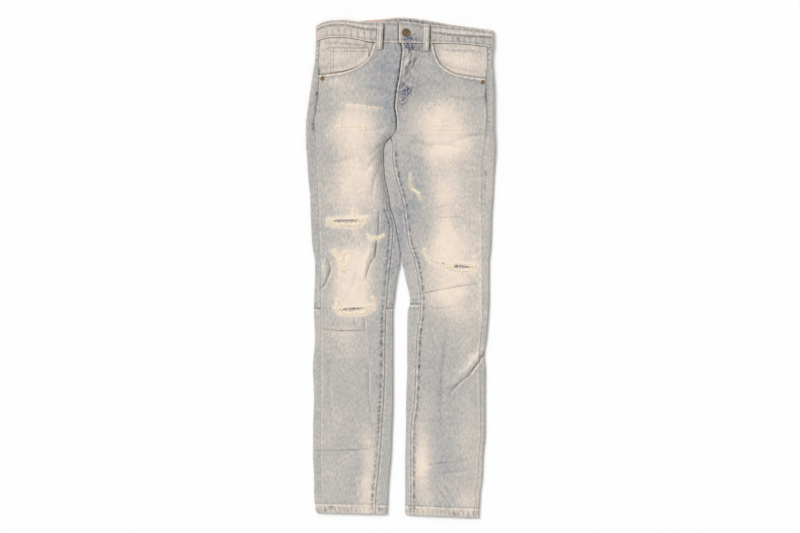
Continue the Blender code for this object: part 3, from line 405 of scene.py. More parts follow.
def leg_curves(rows):
    return Leg("y", *(Curve(rows, "y", column) for column in Leg._fields[1:]))


LEGS = {"right": leg_curves(RIGHT_LEG), "left": leg_curves(LEFT_LEG)}
OUTWARD = {"right": -1, "left": 1}
IN_SEAM_SHOWS = {"right": (150, 112), "left": (262, 246)}
BAND = Band("x", *(Curve(BAND_EDGES, "x", column) for column in Band._fields[1:]))
edge_height = Curve(EDGE_HEIGHTS, "y", "edge")
climb = Curve(CLIMBS, "y", "share")
SCOOP_CURVES = {side: Curve(rows, "x", "y") for side, rows in SCOOPS.items()}


def under_height(y):
    """Height of the underside above the surface."""
    return SEAT_LIFT * ease(y, SEAT_FROM, SEAT_FULL)


def beside(line, x, y):
    """Share along a line, and distances to its side and past its ends."""
    run_x, run_y = line.x1 - line.x0, line.y1 - line.y0
    length = math.hypot(run_x, run_y)
    along = ((x - line.x0) * run_x + (y - line.y0) * run_y) / length
    across = ((x - line.x0) * run_y - (y - line.y0) * run_x) / length
    over = np.maximum(0, np.maximum(-along, along - length))
    return np.clip(along / length, 0, 1), across, over


def fold_height(side, x, y):
    """Sum of the folds at a place."""
    total = 0
    for fold in FOLDS:
        if fold.leg == side:
            share, across, over = beside(fold, x, y)
            middle = mix(FOLD_END, 1, np.sin(math.pi * share))
            total = total + fold.height * middle * np.exp(-(across ** 2 + over ** 2) / fold.reach ** 2)
    return total


def lap_share(x):
    """How far the left front is lifted over the right one."""
    return 1 - ease(x, LAP_FULL, LAP_FADE)


def top_height(side, x, y):
    """Height of the top layer's upper face, with its largest folds."""
    leg = LEGS[side]
    from_outer = np.abs(x - leg.outer(y))
    from_inner = np.abs(x - leg.inner(y))
    crown = 1 - np.exp(-from_outer / CROWN_REACH)
    crown = crown * (1 - climb(np.minimum(y, CLIMBS[0].y)) * np.exp(-from_inner / CROWN_REACH))
    edge = ease(from_outer, 0, CROWN_REACH)
    height = edge_height(y) + CROWN * crown + edge * fold_height(side, x, y)
    height = under_height(y) + np.maximum(height, LEAST_HEIGHT)
    if side == "left":
        height = height + FLY_LIFT * lap_share(x) * ease(y, FLY_FADE, FLY_END)
    return height


def front_low(x):
    return BAND.front_low(x) - BAND_GAP


def hem_y(side, x):
    leg = LEGS[side]
    y_outer, y_inner = HEM_ENDS[side]
    outer, inner = leg.outer(y_outer), leg.inner(y_inner)
    return mix(y_outer, y_inner, (x - outer) / (inner - outer))


def uneven(place, pitch, seed):
    """Puckers along a seam, from -1 to 1, with no two alike."""
    drift = 1.2 * np.sin(place / (pitch * 1.7) + seed) + 1.0 * np.sin(place / (pitch * 4.3) + 2.1 * seed)
    return np.sin(math.tau * place / pitch + drift)


def dashes(place, pitch, seed):
    """Separate dents along a seam, from 0 to 1."""
    strength = 0.72 + 0.28 * np.sin(place / (pitch * 2.6) + 3 * seed)
    return strength * np.clip(1.35 * uneven(place, pitch, seed) - 0.15, 0, 1)


MARK_WORDS = ("rise", "fade", "tint", "ridge", "shade")


class Marks:
    """What fine cloth adds at each place: height, fade, indigo, worn ridge, and painted shade where shade
    falls in seams, creases and beside raised edges.
    """

    def __init__(self, x):
        blank = np.zeros_like(x, dtype=float)
        self.rise, self.fade, self.tint, self.ridge, self.shade = (blank.copy() for _ in MARK_WORDS)

    def add(self, rise=0, fade=0, tint=0, ridge=0, shade=0):
        self.rise = self.rise + rise
        self.fade = self.fade + fade
        self.tint = np.maximum(self.tint, tint)
        self.ridge = np.maximum(self.ridge, ridge)
        self.shade = np.maximum(self.shade, shade)


def crease_marks(marks, side, x, y):
    for crease in CREASES:
        if crease.leg != side:
            continue
        share, across, over = beside(crease, x, y)
        across = across - crease.bow * 4 * share * (1 - share)
        along = mix(0.55, 1, np.sin(math.pi * share)) * bump(over, 0, 1.5 * crease.reach)
        lip = bump(across, -1.7 * crease.reach, crease.reach)
        marks.add(
            rise=crease.depth * along * (bump(across, 0, crease.reach) - 0.4 * lip),
            tint=0.45 * crease.tint * along * bump(across, 0, 0.6 * crease.reach),
            # painted shade along the bottom of each crease
            shade=0.95 * crease.tint * along * bump(across, 0, 0.4 * crease.reach),
            ridge=0.35 * crease.tint * along * bump(across, -1.4 * crease.reach, 0.7 * crease.reach),
        )
        if crease.depth > 0:
            marks.add(ridge=0.65 * crease.depth * along * bump(across, 0, 0.5 * crease.reach))


def wash_marks(marks, side, x, y):
    for tones, word in ((FADES, "fade"), (INDIGOS, "tint")):
        for tone in tones:
            if tone.leg == side:
                spread = ((x - tone.x) / tone.wide) ** 2 + ((y - tone.y) / tone.high) ** 2
                marks.add(**{word: tone.strength * np.exp(-spread)})
    for worn in WORN:
        if worn.leg == side:
            share, across, over = beside(worn, x, y)
            across = np.abs(across + worn.bow * 4 * share * (1 - share))
            out = np.hypot(np.maximum(across - worn.width / 2, 0), over)
            bare = min(0.9, 0.11 * worn.width)
            marks.add(fade=0.3 * bump(out, 0, 4), ridge=bare * bump(out, 0, 1.5))


def seam_marks(marks, side, front, x, y):
    """Seams down a leg: a felled ridge, the line, and puckers beside it, with painted shade along the seam
    lines and in the pucker dents.
    """
    leg, outward = LEGS[side], OUTWARD[side]
    below = ease(y, *IN_SEAM_SHOWS[side])
    inward = (x - leg.in_seam(y)) * outward
    line = bump(inward, 0, 1.4) * below
    # painted shade along the in-seam line
    marks.add(rise=-0.25 * line, shade=0.14 * line, tint=0.2 * line)
    if front:
        dash = (0.7 + 0.3 * np.sin(y / 31 + outward)) * dashes(y + 0.5 * inward, 9.6, 1.3 + outward) * below
        dash = np.maximum(dash, 0.8 * dashes(y, 23, 0.4 + outward) * below)
        worn_line = 0.55 + 0.3 * np.sin(y / 7 + 2 * np.sin(y / 19))
        marks.add(rise=0.8 * bump(inward, 3.6, 2.1) * below, ridge=worn_line * bump(inward, 3.6, 1.3) * below)
        marks.add(rise=-1.0 * dash * bump(inward, 7.8, 3.0), tint=0.85 * dash * bump(inward, 7.6, 3.1))
        # painted shade in the pucker dents beside the in-seam
        marks.add(shade=(0.14 + 0.4 * dash) * bump(inward, 6.8, 2.2) * below)
        marks.add(rise=0.4 * (1 - dash) * bump(inward, 10, 4) * below)
    else:
        marks.add(ridge=0.35 * bump(inward, -2.4, 1.5) * below)
        marks.add(rise=0.25 * uneven(y, 11, 0.4) * bump(inward, -6, 4) * below)
    outer = (leg.out_seam(y) - x) * outward
    hip = ease(y, 235, 330)
    dash = dashes(y, 10.5, 2.2 + outward)
    # painted shade along the side seam, stronger at the hip
    marks.add(rise=-0.1 * bump(outer, 0, 1.6), shade=mix(0, 0.4, hip) * bump(outer, 0, 1.3))
    marks.add(rise=0.4 * bump(outer, 3.2, 2), ridge=0.3 * bump(outer, 3.2, 1.6))
    marks.add(rise=-0.4 * dash * bump(outer, -4, 3), tint=mix(0.3, 0.6, hip) * dash * bump(outer, -4, 2.2))


def hem_marks(marks, side, x, y, seed):
    """The turned hem: a doubled band, roped by its stitching, with painted shade in the rope dents and under
    the hem's upper edge.
    """
    up = y - hem_y(side, x)
    band = ease(up, HEM_DEPTH + 1.5, HEM_DEPTH - 1)
    rope = dashes(x + 0.3 * up, 9.3, seed)
    blotch = np.clip(np.sin(x / 9 + 3 * np.sin(x / 23 + seed)) * np.sin(up / 4 + x / 31), 0, 1)
    marks.add(rise=0.7 * band * ease(up, -0.5, 2.5))
    marks.add(rise=-0.5 * rope * bump(up, 7.5, 5), tint=0.42 * rope * bump(up, 8, 5) * band)
    # painted shade in the rope dents and blotches of the hem
    marks.add(tint=0.4 * blotch * band, shade=(0.3 * rope * bump(up, 7, 4) + 0.12 * blotch) * band)
    marks.add(ridge=0.9 * bump(up, HEM_DEPTH - 1.2, 1.7), fade=0.3 * band)
    # painted shade just above the hem's turned edge
    marks.add(ridge=0.4 * bump(up, 0.5, 1.6), shade=0.35 * bump(up, HEM_DEPTH + 2.0, 1.2))


def nearest(path, x, y):
    """Distance from a path and the place along it."""
    best = np.full(np.shape(x), 1e6)
    place = np.zeros(np.shape(x))
    gone = 0
    for (x0, y0), (x1, y1) in zip(path, path[1:]):
        run_x, run_y = x1 - x0, y1 - y0
        length = math.hypot(run_x, run_y)
        t = np.clip(((x - x0) * run_x + (y - y0) * run_y) / length ** 2, 0, 1)
        away = np.hypot(x - x0 - t * run_x, y - y0 - t * run_y)
        closer = away < best
        best = np.where(closer, away, best)
        place = np.where(closer, gone + t * length, place)
        gone += length
    return best, place


def scoop_path(side, steps=40):
    start, end = SCOOPS[side][0].x, SCOOPS[side][-1].x
    places = [mix(start, end, (k / steps) ** 1.6) for k in range(steps + 1)]
    return [(float(x), float(SCOOP_CURVES[side](x))) for x in places]


FLY_STITCH = [(36, 467), (35, 440), (33, 412), (30, 388), (24, 366), (15, 346), (4, 334), (-7, 328)]


def rip_half_width(rip, t):
    return rip.width / 2 * np.sin(math.pi * t) ** RIP_BLUNTNESS


def rip_middle(rip, t):
    return mix(rip.x0, rip.x1, t), mix(rip.y0, rip.y1, t) + rip.bow * np.sin(math.pi * t)


def rip_marks(marks, side, x, y):
    """Frayed and faded cloth along the edges of the open rips, with a dashed line of painted shade just below
    each rip.
    """
    for rip in RIPS:
        if rip.leg == side:
            share = np.clip((x - rip.x0) / (rip.x1 - rip.x0), 0, 1)
            _, middle = rip_middle(rip, share)
            past = np.maximum(0, np.maximum(rip.x0 - x, x - rip.x1))
            out = np.hypot(np.maximum(np.abs(y - middle) - rip_half_width(rip, share), 0), past)
            marks.add(rise=0.35 * bump(out, 0, 5), fade=0.55 * bump(out, 0, 7))
            marks.add(ridge=0.8 * bump(out, 0, 1.8))
            # painted shade: a dashed dark line just outside each rip's lower edge
            marks.add(shade=0.55 * dashes(x, 6.3, 1.0) * bump(out, 3.8, 1.2) * (y < middle))


def front_marks(side, x, y):
    """All that the fine front panel shows."""
    marks = Marks(x)
    outward = OUTWARD[side]
    wash_marks(marks, side, x, y)
    crease_marks(marks, side, x, y)
    seam_marks(marks, side, True, x, y)
    hem_marks(marks, side, x, y, 0.7)
    rip_marks(marks, side, x, y)
    away, place = nearest(scoop_path(side), x, y)
    dash = dashes(place, 12, 0.9)
    marks.add(rise=-0.5 * bump(away, 0, 1.0), ridge=1.0 * bump(away, 2.2, 1.9))
    marks.add(rise=0.6 * bump(away, 3.0, 2.4), tint=0.35 * dash * bump(away, 10, 3))
    # painted shade in the dip beside the pocket opening's lip
    marks.add(rise=-0.4 * dash * bump(away, 9.5, 3), shade=0.38 * bump(away, 5.8, 1.2))
    loop_shade(marks, x, y)
    waist = front_low(x) - y
    # painted shade under the waistband's lower edge
    marks.add(rise=-0.4 * bump(waist, 0, 1.5), shade=0.5 * bump(waist, 0, 1.6))
    marks.add(rise=-0.35 * dashes(x, 13, 2.0) * bump(waist, 7, 6))
    fly = (x - LEGS["left"].in_seam(y)) * ease(y, 276, 290)
    if side == "left":
        rubbed = 0.75 + 0.25 * np.sin(y / 8 + 2 * np.sin(y / 21))
        marks.add(ridge=rubbed * bump(fly, 1.0, 1.5) * ease(y, 280, 300), rise=-0.5 * bump(fly, 0, 1))
        # painted shade in a thin line inside the fly edge
        marks.add(shade=0.4 * bump(fly, 4.8, 1.3) * ease(y, 296, 320), rise=0.4 * bump(fly, 2, 2))
        away, place = nearest(FLY_STITCH, x, y)
        marks.add(rise=-0.4 * bump(away, 0, 2), tint=0.28 * dashes(place, 11, 1) * bump(away, 4, 3))
        marks.add(rise=0.4 * uneven(y, 23, 1.9) * bump(x, 12, 14) * ease(y, 330, 350))
    else:
        reach = ease(y, 276, 300)
        # painted shadow on the right front where the left front laps over it, dark and slightly blue
        marks.add(shade=0.95 * bump(fly, -1.2, 2.4) * reach, tint=0.5 * ease(fly, -9, -1) * reach)
    leg_shade(marks, side, x, y)
    undulate(marks, x, y, outward)
    return marks


def loop_shade(marks, x, y):
    """Painted shadow on the cloth beside the two front belt loops: dark to their right, faint to their left.
    """
    for loop in LOOPS[:2]:
        lean = loop.lean * (2 * (y - loop.low) / (loop.top - loop.low) - 1)
        past = x - loop.x - lean - LOOP_WIDTH / 2
        there = ease(y, loop.low - 2, loop.low + 2) * ease(y, loop.top + 3, loop.top - 2)
        marks.add(shade=0.85 * bump(past, 1.0, 2.0) * there)
        marks.add(shade=0.3 * bump(past, -LOOP_WIDTH - 0.6, 1.2) * there)


def leg_shade(marks, side, x, y):
    """Painted shade, dark and slightly blue, in the valley where the two legs meet."""
    valley = np.abs(x - LEGS["right"].inner(y))
    meeting = ease(y, 300, 270) * ease(y, 60, 130)
    if side == "right":
        marks.add(shade=0.24 * bump(valley, 6, 10) * meeting, tint=0.16 * bump(valley, 4, 14) * meeting)
    else:
        marks.add(shade=0.08 * bump(valley, 0, 3.5) * meeting)


def undulate(marks, x, y, seed):
    """The slight unevenness of washed cloth, laid by hand."""
    wave = np.sin(x / 17 + 1.7 * np.sin(y / 43 + seed)) * np.sin(y / 27 + 1.3 * np.sin(x / 31 + 2 * seed))
    fine = np.sin(x / 5.3 + 1.9 * np.sin(y / 11)) * np.sin(y / 7.9 + 1.5 * np.sin(x / 8.7 + seed))
    marks.add(rise=0.28 * wave + 0.07 * fine)


def knee_marks(marks, side, x, y):
    """The seam across the back of the knee, with painted shade along its line."""
    knee = y - KNEE_SEAM[side]
    dash = dashes(x, 7.5, 0.3)
    worn_off = 1 - 0.9 * (side == "left") * (x > 150)
    line = bump(knee, 0, 1.4) * worn_off
    marks.add(rise=-0.5 * line, shade=0.5 * line, ridge=0.5 * bump(knee, -4, 2) * worn_off)
    marks.add(rise=-0.35 * dash * bump(knee, -8, 3.5), tint=0.5 * dash * bump(knee, -8, 3) * worn_off)
    marks.add(rise=0.3 * dash * bump(knee, 8, 4), tint=0.35 * (1 - dash) * bump(knee, 8, 3) * worn_off)


def back_marks(side, x, y):
    """What the back panels show on top."""
    marks = Marks(x)
    wash_marks(marks, side, x, y)
    crease_marks(marks, side, x, y)
    seam_marks(marks, side, False, x, y)
    hem_marks(marks, side, x, y, 1.9)
    knee_marks(marks, side, x, y)
    leg_shade(marks, side, x, y)
    undulate(marks, x, y, OUTWARD[side])
    return marks


# On the hidden side: the y, height and strength of each faded place, and the y, slope and strength of
# each crease behind the knee
UNDER_FADES = [(330, 90, 0.45), (150, 110, 0.5), (-70, 80, 0.36), (-330, 160, 0.22)]
UNDER_CREASES = [(-48, 0.1, 0.22), (-66, -0.07, 0.36), (-88, 0.05, 0.4), (-128, -0.1, 0.24)]


def under_marks(side, x, y):
    """The hidden side: a faded middle, with soft creases behind the knee and painted shade along the seat
    seam.
    """
    marks = Marks(x)
    leg = LEGS[side]
    middle = (leg.outer(y) + leg.inner(y)) / 2
    for place, high, strength in UNDER_FADES:
        marks.add(fade=strength * bump(x, middle, 46) * bump(y, place, high))
    for place, slope, strength in UNDER_CREASES:
        line = y - place - slope * (x - middle) - 2 * np.sin(x / 19 + place)
        marks.add(tint=strength * bump(line, 0, 2.4) * bump(x, middle, 52))
        marks.add(ridge=0.6 * strength * bump(line, 6, 3) * bump(x, middle, 46))
    seat = ease(y, 262, 280)
    edge = np.abs(x - leg.inner(y))
    # painted shade along the seat seam
    marks.add(shade=0.25 * bump(edge, 0, 1.4) * seat, tint=0.5 * dashes(y, 10, 1.3) * bump(edge, 9, 3) * seat)
    marks.add(ridge=0.5 * bump(edge, 4, 1.8) * seat)
    side_edge = np.abs(x - leg.outer(y))
    marks.add(tint=0.25 * dashes(y, 12, 0.8) * bump(side_edge, 16, 5))
    knee_marks(marks, side, x, y)
    hem_marks(marks, side, x, y, 1.9)
    return marks


def clear_of_edge(side, x, y):
    """Share of the fine relief, which fades out near a turned edge."""
    leg = LEGS[side]
    outer = ease(np.abs(x - leg.outer(y)), 2.4, 9)
    inner = ease(np.abs(x - leg.inner(y)), 1.5, 7)
    return outer * np.where(y < CLIMBS[-1].y, inner, 1)


def cloth_height(side, x, y, front=True):
    """Height of the fine upper face, for what lies on it."""
    marks = front_marks(side, x, y) if front else back_marks(side, x, y)
    return top_height(side, x, y) + marks.rise * clear_of_edge(side, x, y)



def grid(rows, columns):
    """Shares from 0 to 1 down the rows and across the columns."""
    return np.linspace(0, 1, rows)[:, None], np.linspace(0, 1, columns)[None, :]


def wall_mesh(name, outer, inner, marks=None):
    """A closed wall between two like grids. Its inner face has its own material."""
    rows, columns = outer.shape[:2]
    count = rows * columns
    points = np.concatenate([outer.reshape(-1, 3), inner.reshape(-1, 3)]) * MM
    at = np.arange(count).reshape(rows, columns)
    a, b, c, d = at[:-1, :-1].ravel(), at[1:, :-1].ravel(), at[1:, 1:].ravel(), at[:-1, 1:].ravel()
    outside = np.stack([a, b, c, d], 1)
    inside = np.stack([a, d, c, b], 1) + count
    rim = np.concatenate([at[:, 0], at[-1, 1:], at[-2::-1, -1], at[0, -2::-1]])
    onward = np.roll(rim, -1)
    edge = np.stack([onward, rim, rim + count, onward + count], 1)[:-1]
    faces = np.concatenate([outside, inside, edge])
    mesh = new_mesh(name, points.tolist(), faces.tolist())
    skins = np.zeros(len(faces), dtype=np.int32)
    skins[len(outside):len(outside) + len(inside)] = 1
    mesh.polygons.foreach_set("material_index", skins)
    halves = (points[faces[:, corners]] for corners in ([0, 1, 2], [0, 2, 3]))
    if sum(np.einsum("ij,ij->", np.cross(t[:, 0], t[:, 1]), t[:, 2]) for t in halves) < 0:
        mesh.flip_normals()
    if marks is not None:
        way = 1 if np.ptp(outer[0, :, 0]) > np.ptp(outer[:, 0, 0]) else 0
        steps = np.diff(outer, axis=way, prepend=np.take(outer, [0], way))
        arc = np.cumsum(np.linalg.norm(steps, axis=2), axis=way)
        cloth = np.stack([arc, outer[..., 1], np.zeros_like(arc)], -1).reshape(-1, 3) * MM
        write_marks(mesh, marks, np.concatenate([cloth, cloth]), 2)
    return mesh


def write_marks(mesh, marks, cloth, copies=1):
    """Store the marks and the place on the cloth on the points."""
    for word in MARK_WORDS[1:]:
        values = np.clip(np.tile(np.ravel(getattr(marks, word)), copies), -1, 1.5)
        stored = mesh.attributes.new(word, "FLOAT", "POINT")
        stored.data.foreach_set("value", values.astype(np.float32))
    stored = mesh.attributes.new("cloth", "FLOAT_VECTOR", "POINT")
    stored.data.foreach_set("vector", cloth.astype(np.float32).ravel())


def add_piece(name, mesh, slot, looks=(), *nodes):
    """Link a finished mesh as a piece that stands for its nodes."""
    for word in looks:
        mesh.materials.append(look(word))
    mesh.shade_smooth()
    mesh.set_sharp_from_angle(angle=math.radians(50))
    piece = linked(name, mesh)
    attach(piece, "root")
    if nodes:
        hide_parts(*nodes)
    return piece


def cloth_piece(name, mesh, slot="denim", looks=("Bleached Denim", "Denim Inside")):
    """The fine piece that stands for a cloth node."""
    return add_piece(name + "_cloth", mesh, slot, looks, name)


def spans(outer):
    """Greatest width and length along a panel's face."""
    return [np.linalg.norm(np.diff(outer, axis=axis), axis=2).sum(axis).max() for axis in (1, 0)]


def declare_sheet(piece, outer, taken=0.0):
    """Measure a panel's greatest width and length from its outer face; nothing is stated or kept. What is cut
    out (taken) is not used.
    """
    width, length = sorted(spans(outer))


def lay_panel(name, outer, cloth, marks):
    """A panel of even thickness, laid on another piece."""
    piece = cloth_piece(name, wall_mesh(name, outer, outer - (0, 0, cloth), marks))
    declare_sheet(piece, outer)


def cut_with(mesh, cutters):
    """Take the cutters' forms out of a mesh."""
    body = linked("cloth_blank", mesh)
    tools = [linked("cutter", cutter) for cutter in cutters]
    for tool in tools:
        taken = body.modifiers.new("cut", "BOOLEAN")
        taken.operation, taken.solver, taken.object = "DIFFERENCE", "EXACT", tool
    result = made_plain(body)
    for spare in (body, *tools):
        bpy.data.objects.remove(spare, do_unlink=True)
    return result


def signed_area(outline):
    return sum(a[0] * b[1] - b[0] * a[1] for a, b in zip(outline, outline[1:] + outline[:1])) / 2


def prism(outline, low, high):
    count = len(outline)
    corners = [(x * MM, y * MM, z * MM) for z in (low, high) for x, y in outline]
    faces = [tuple(reversed(range(count))), tuple(range(count, 2 * count))]
    faces += [(k, (k + 1) % count, count + (k + 1) % count, count + k) for k in range(count)]
    mesh = new_mesh("cutter", corners, faces)
    if signed_area(outline) < 0:
        mesh.flip_normals()
    return mesh


def rip_outline(rip):
    """The torn edge: the rip's lens with small nicks."""
    shares = np.linspace(0.01, 0.99, 44)
    nicks = 0.35 * np.sin(shares * 61 + rip.y0) + 0.3 * np.sin(shares * 113 + rip.x0)
    x, middle = rip_middle(rip, shares)
    half = rip_half_width(rip, shares)
    upper = list(zip(x.tolist(), (middle + half + nicks * half / rip.width * 1.4).tolist()))
    lower = list(zip(x.tolist(), (middle - half + nicks[::-1] * half / rip.width * 1.4).tolist()))
    return upper + lower[::-1]


def front_skins(side, sizes):
    """Outer and inner faces of a fine front panel."""
    leg, outward = LEGS[side], OUTWARD[side]
    hem = HEM_ENDS[side][0]
    read = np.linspace(WAIST_READ, hem, round((WAIST_READ - hem) / sizes.grid))[:, None]
    shares = np.linspace(0, 1, round(FRONT_WIDTH / sizes.grid))[None, :]
    x = mix(leg.out_seam(read) - outward * HALF_GAP, leg.in_seam(read) + outward * HALF_GAP, shares)
    y = read + (front_low(x) - WAIST_READ) * ease(read, 400, WAIST_READ)
    y = y + (hem_y(side, x) - hem) * ease(read, -440, hem)
    z = cloth_height(side, x, y)
    cloth = mix(CLOTH, HEM_CLOTH, ease(y - hem_y(side, x), HEM_DEPTH + 1, HEM_DEPTH - 1))
    return xyz(x, y, z), xyz(x, y, z - cloth)


def section_stops(share):
    """Stops along a back panel's section, from the side seam to the inner seam."""
    fixed = np.concatenate([np.arange(6) / 6, 1 + np.arange(9) / 9, 2 + np.arange(26) / 26])
    wrapped = np.concatenate([3 + np.arange(9) / 9, 4 + np.arange(13) / 12])
    ends = mix(np.linspace(2.98, 3, len(wrapped))[None, :], wrapped[None, :], share[:, None])
    return np.concatenate([np.tile(fixed, (len(share), 1)), ends], 1)


def turn_radius(side, edge, outward, y):
    low = under_height(y)
    radius = edge_height(y) / 2
    for _ in range(2):
        radius = (top_height(side, edge - outward * radius, y) - low) / 2
    return radius


def turned(edge, outward, radius, low, inset, turn):
    """Place on the fold round an edge: turn 0 is on top, 1 underneath."""
    angle = math.pi * turn
    x = edge - outward * radius + outward * (radius - inset) * np.sin(angle)
    return x, low + radius + (radius - inset) * np.cos(angle)


def back_skin(side, y_side, y_middle, inset):
    """One face of a back panel, through rows given by their two ends."""
    leg, outward = LEGS[side], OUTWARD[side]
    share = climb(np.minimum(y_side, CLIMBS[0].y))
    stops = section_stops(share)
    y = mix(y_side[:, None], y_middle[:, None], np.clip(stops - 2, 0, 1))
    inset = np.broadcast_to(np.reshape(inset, (-1, 1)), stops.shape)
    low = under_height(y)
    outer = leg.outer(y)
    r_out = turn_radius(side, outer, outward, y)
    inner = leg.inner(y) + outward * HALF_GAP
    r_in = np.where(share[:, None] > 0, turn_radius(side, inner, -outward, y), 0)
    over = mix(leg.out_seam(y) + outward * HALF_GAP, outer - outward * r_out, np.clip(stops, 0, 1))
    under = mix(outer - outward * r_out, inner + outward * r_in, np.clip(stops - 2, 0, 1))
    inside = mix(inner + outward * r_in, leg.in_seam(y) - outward * HALF_GAP, np.clip(stops - 4, 0, 1))
    turn_x, turn_z = turned(outer, outward, r_out, low, inset, np.clip(stops - 1, 0, 1))
    roll_x, roll_z = turned(inner, -outward, r_in, low, inset, np.clip(4 - stops, 0, 1))
    parts = [stops < 1, stops <= 2, (stops < 3) | (share[:, None] == 0), stops <= 4]
    x = np.select(parts, [over, turn_x, under, roll_x], inside)
    top = np.where(stops < 1, over, inside)
    lift = top_height(side, top, y) + back_marks(side, top, y).rise * clear_of_edge(side, top, y)
    z = np.select(parts, [lift - inset, turn_z, low + inset, roll_z], lift - inset)
    return xyz(x, y, z), stops


def build_back(name, side, y_side, y_middle, waist=False):
    """A fine back panel or yoke."""
    cloth = np.where(y_side <= HEM_ENDS[side][0] + HEM_DEPTH, HEM_CLOTH, CLOTH)
    outer, stops = back_skin(side, y_side, y_middle, np.zeros_like(y_side))
    inner, _ = back_skin(side, y_side, y_middle, cloth)
    for skin in (outer, inner):
        x = skin[..., 0]
        if waist:
            low = np.where(stops < 1.5, BAND.front_low(x), BAND.back_low(x)) - YOKE_GAP
            gone = ease(y_side, YOKE_SIDE_SEAM + 4, WAIST_READ)[:, None]
            skin[..., 1] += (low - WAIST_READ) * gone
        if y_side[-1] < -400:
            skin[..., 1] += (hem_y(side, x) - y_side[-1]) * ease(y_side, -440, y_side[-1])[:, None]
    marks = back_marks(side, outer[..., 0], outer[..., 1])
    hidden = under_marks(side, outer[..., 0], outer[..., 1])
    below = ease(stops, 1.1, 1.7) * ease(stops, 3.9, 3.4)
    for word in MARK_WORDS:
        setattr(marks, word, mix(getattr(marks, word), getattr(hidden, word), below))
    declare_sheet(cloth_piece(name, wall_mesh(name, outer, inner, marks)), outer)


def band_top(x, y):
    """Height of the waistband's upper face, without the lap at the fly."""
    right = top_height("right", x, y)
    left = top_height("left", x, y) - FLY_LIFT * lap_share(x)
    return np.where(x < BAND_UNDER_END, right, left) + BAND_PROUD


def band_relief(x, share, face):
    """Puckers of the band between its rows of stitching, and its long folds, with painted shade along its
    stitch rows, in its folds, in the buttonhole slit and beside the end that laps over.
    """
    marks = Marks(x)
    dash = dashes(x, 13, 1.1 if face == "front" else 2.3)
    edge = bump(share, 0.1, 0.09) + bump(share, 0.9, 0.09)
    # painted shade along the band's stitch rows
    marks.add(rise=-0.4 * edge, tint=0.55 * edge * mix(0.3, 1, dash), shade=0.16 * edge)
    marks.add(rise=0.45 * bump(share, 0.0, 0.09) + 0.45 * bump(share, 1.0, 0.09))
    marks.add(ridge=0.8 * bump(share, 0.0, 0.06) + 0.8 * bump(share, 1.0, 0.06))
    marks.add(rise=-0.5 * dash * bump(share, 0.38, 0.26), tint=0.55 * dash * bump(share, 0.36, 0.18))
    if face == "front":
        for there, run, (middle, sway, reach, depth, tint), (lip, lip_reach, worn) in (
                (ease(x, -20, -60), 30, (0.66, 0.05, 0.08, 0.9, 0.4), (0.78, 0.06, 0.7)),
                (ease(x, 50, 80), 26, (0.55, 0.06, 0.07, 0.8, 0.55), (0.7, 0.07, 0.6))):
            fold = bump(share, middle + sway * np.sin(x / run), reach) * there
            # painted shade in the band's folds
            marks.add(rise=-depth * fold, tint=tint * fold, shade=0.3 * fold)
            marks.add(ridge=worn * bump(share, lip + 0.05 * np.sin(x / run), lip_reach) * there)
        y = mix(BAND.front_low(x), BAND.front_top(x), share)
        loop_shade(marks, x, y)
        # the buttonhole slit is a painted dark line of shade, not a cut
        slit = bump(y, BUTTONHOLE_END[1], 0.9) * ease(x, BUTTON_AT[0], 18) * ease(x, 34, 31)
        marks.add(shade=0.9 * slit, rise=-0.4 * slit)
        row = dashes(x, 9, 0.4) * bump(share, 0.3, 0.07) * ease(x, 62, 76) * ease(x, 136, 120)
        marks.add(tint=0.9 * row, rise=-0.5 * row, shade=0.3 * row)
        blot = bump(share, 0.12, 0.2) * bump(x, 20, 14)
        marks.add(tint=1.2 * blot, rise=-0.5 * blot * (0.5 + 0.5 * np.sin(x / 1.9 + share * 9)))
        marks.add(fade=0.4 * ease(x, -36, -70) + 0.26 * ease(x, 50, 100) + 0.04)
        marks.add(tint=0.35 * ease(share, 0.72, 0.95) * ease(x, 60, 90) * mix(0.3, 1, dash))
        over = x >= BAND_OVER_END - 0.01
        marks.add(ridge=1.0 * bump(x, BAND_OVER_END + 1.2, 1.9) * over)
        # painted shadow on the under end beside the end that laps over it
        marks.add(shade=0.9 * bump(x, BAND_OVER_END - 1, 2.6) * (1 - over))
    else:
        dyed = mix(0.3, 1, dashes(x, 11, 0.8)) * mix(0.6, 1.3, bump(x, 30, 40))
        # painted shade under the back band's top edge
        marks.add(fade=0.1, tint=dyed * bump(share, 0.78, 0.16), shade=0.35 * dyed * bump(share, 0.9, 0.08))
        marks.add(ridge=0.8 * bump(share, 0.97, 0.05), shade=0.25 * bump(share, 0.86, 0.04))
    undulate(marks, x, share * 36, 0.6)
    return marks


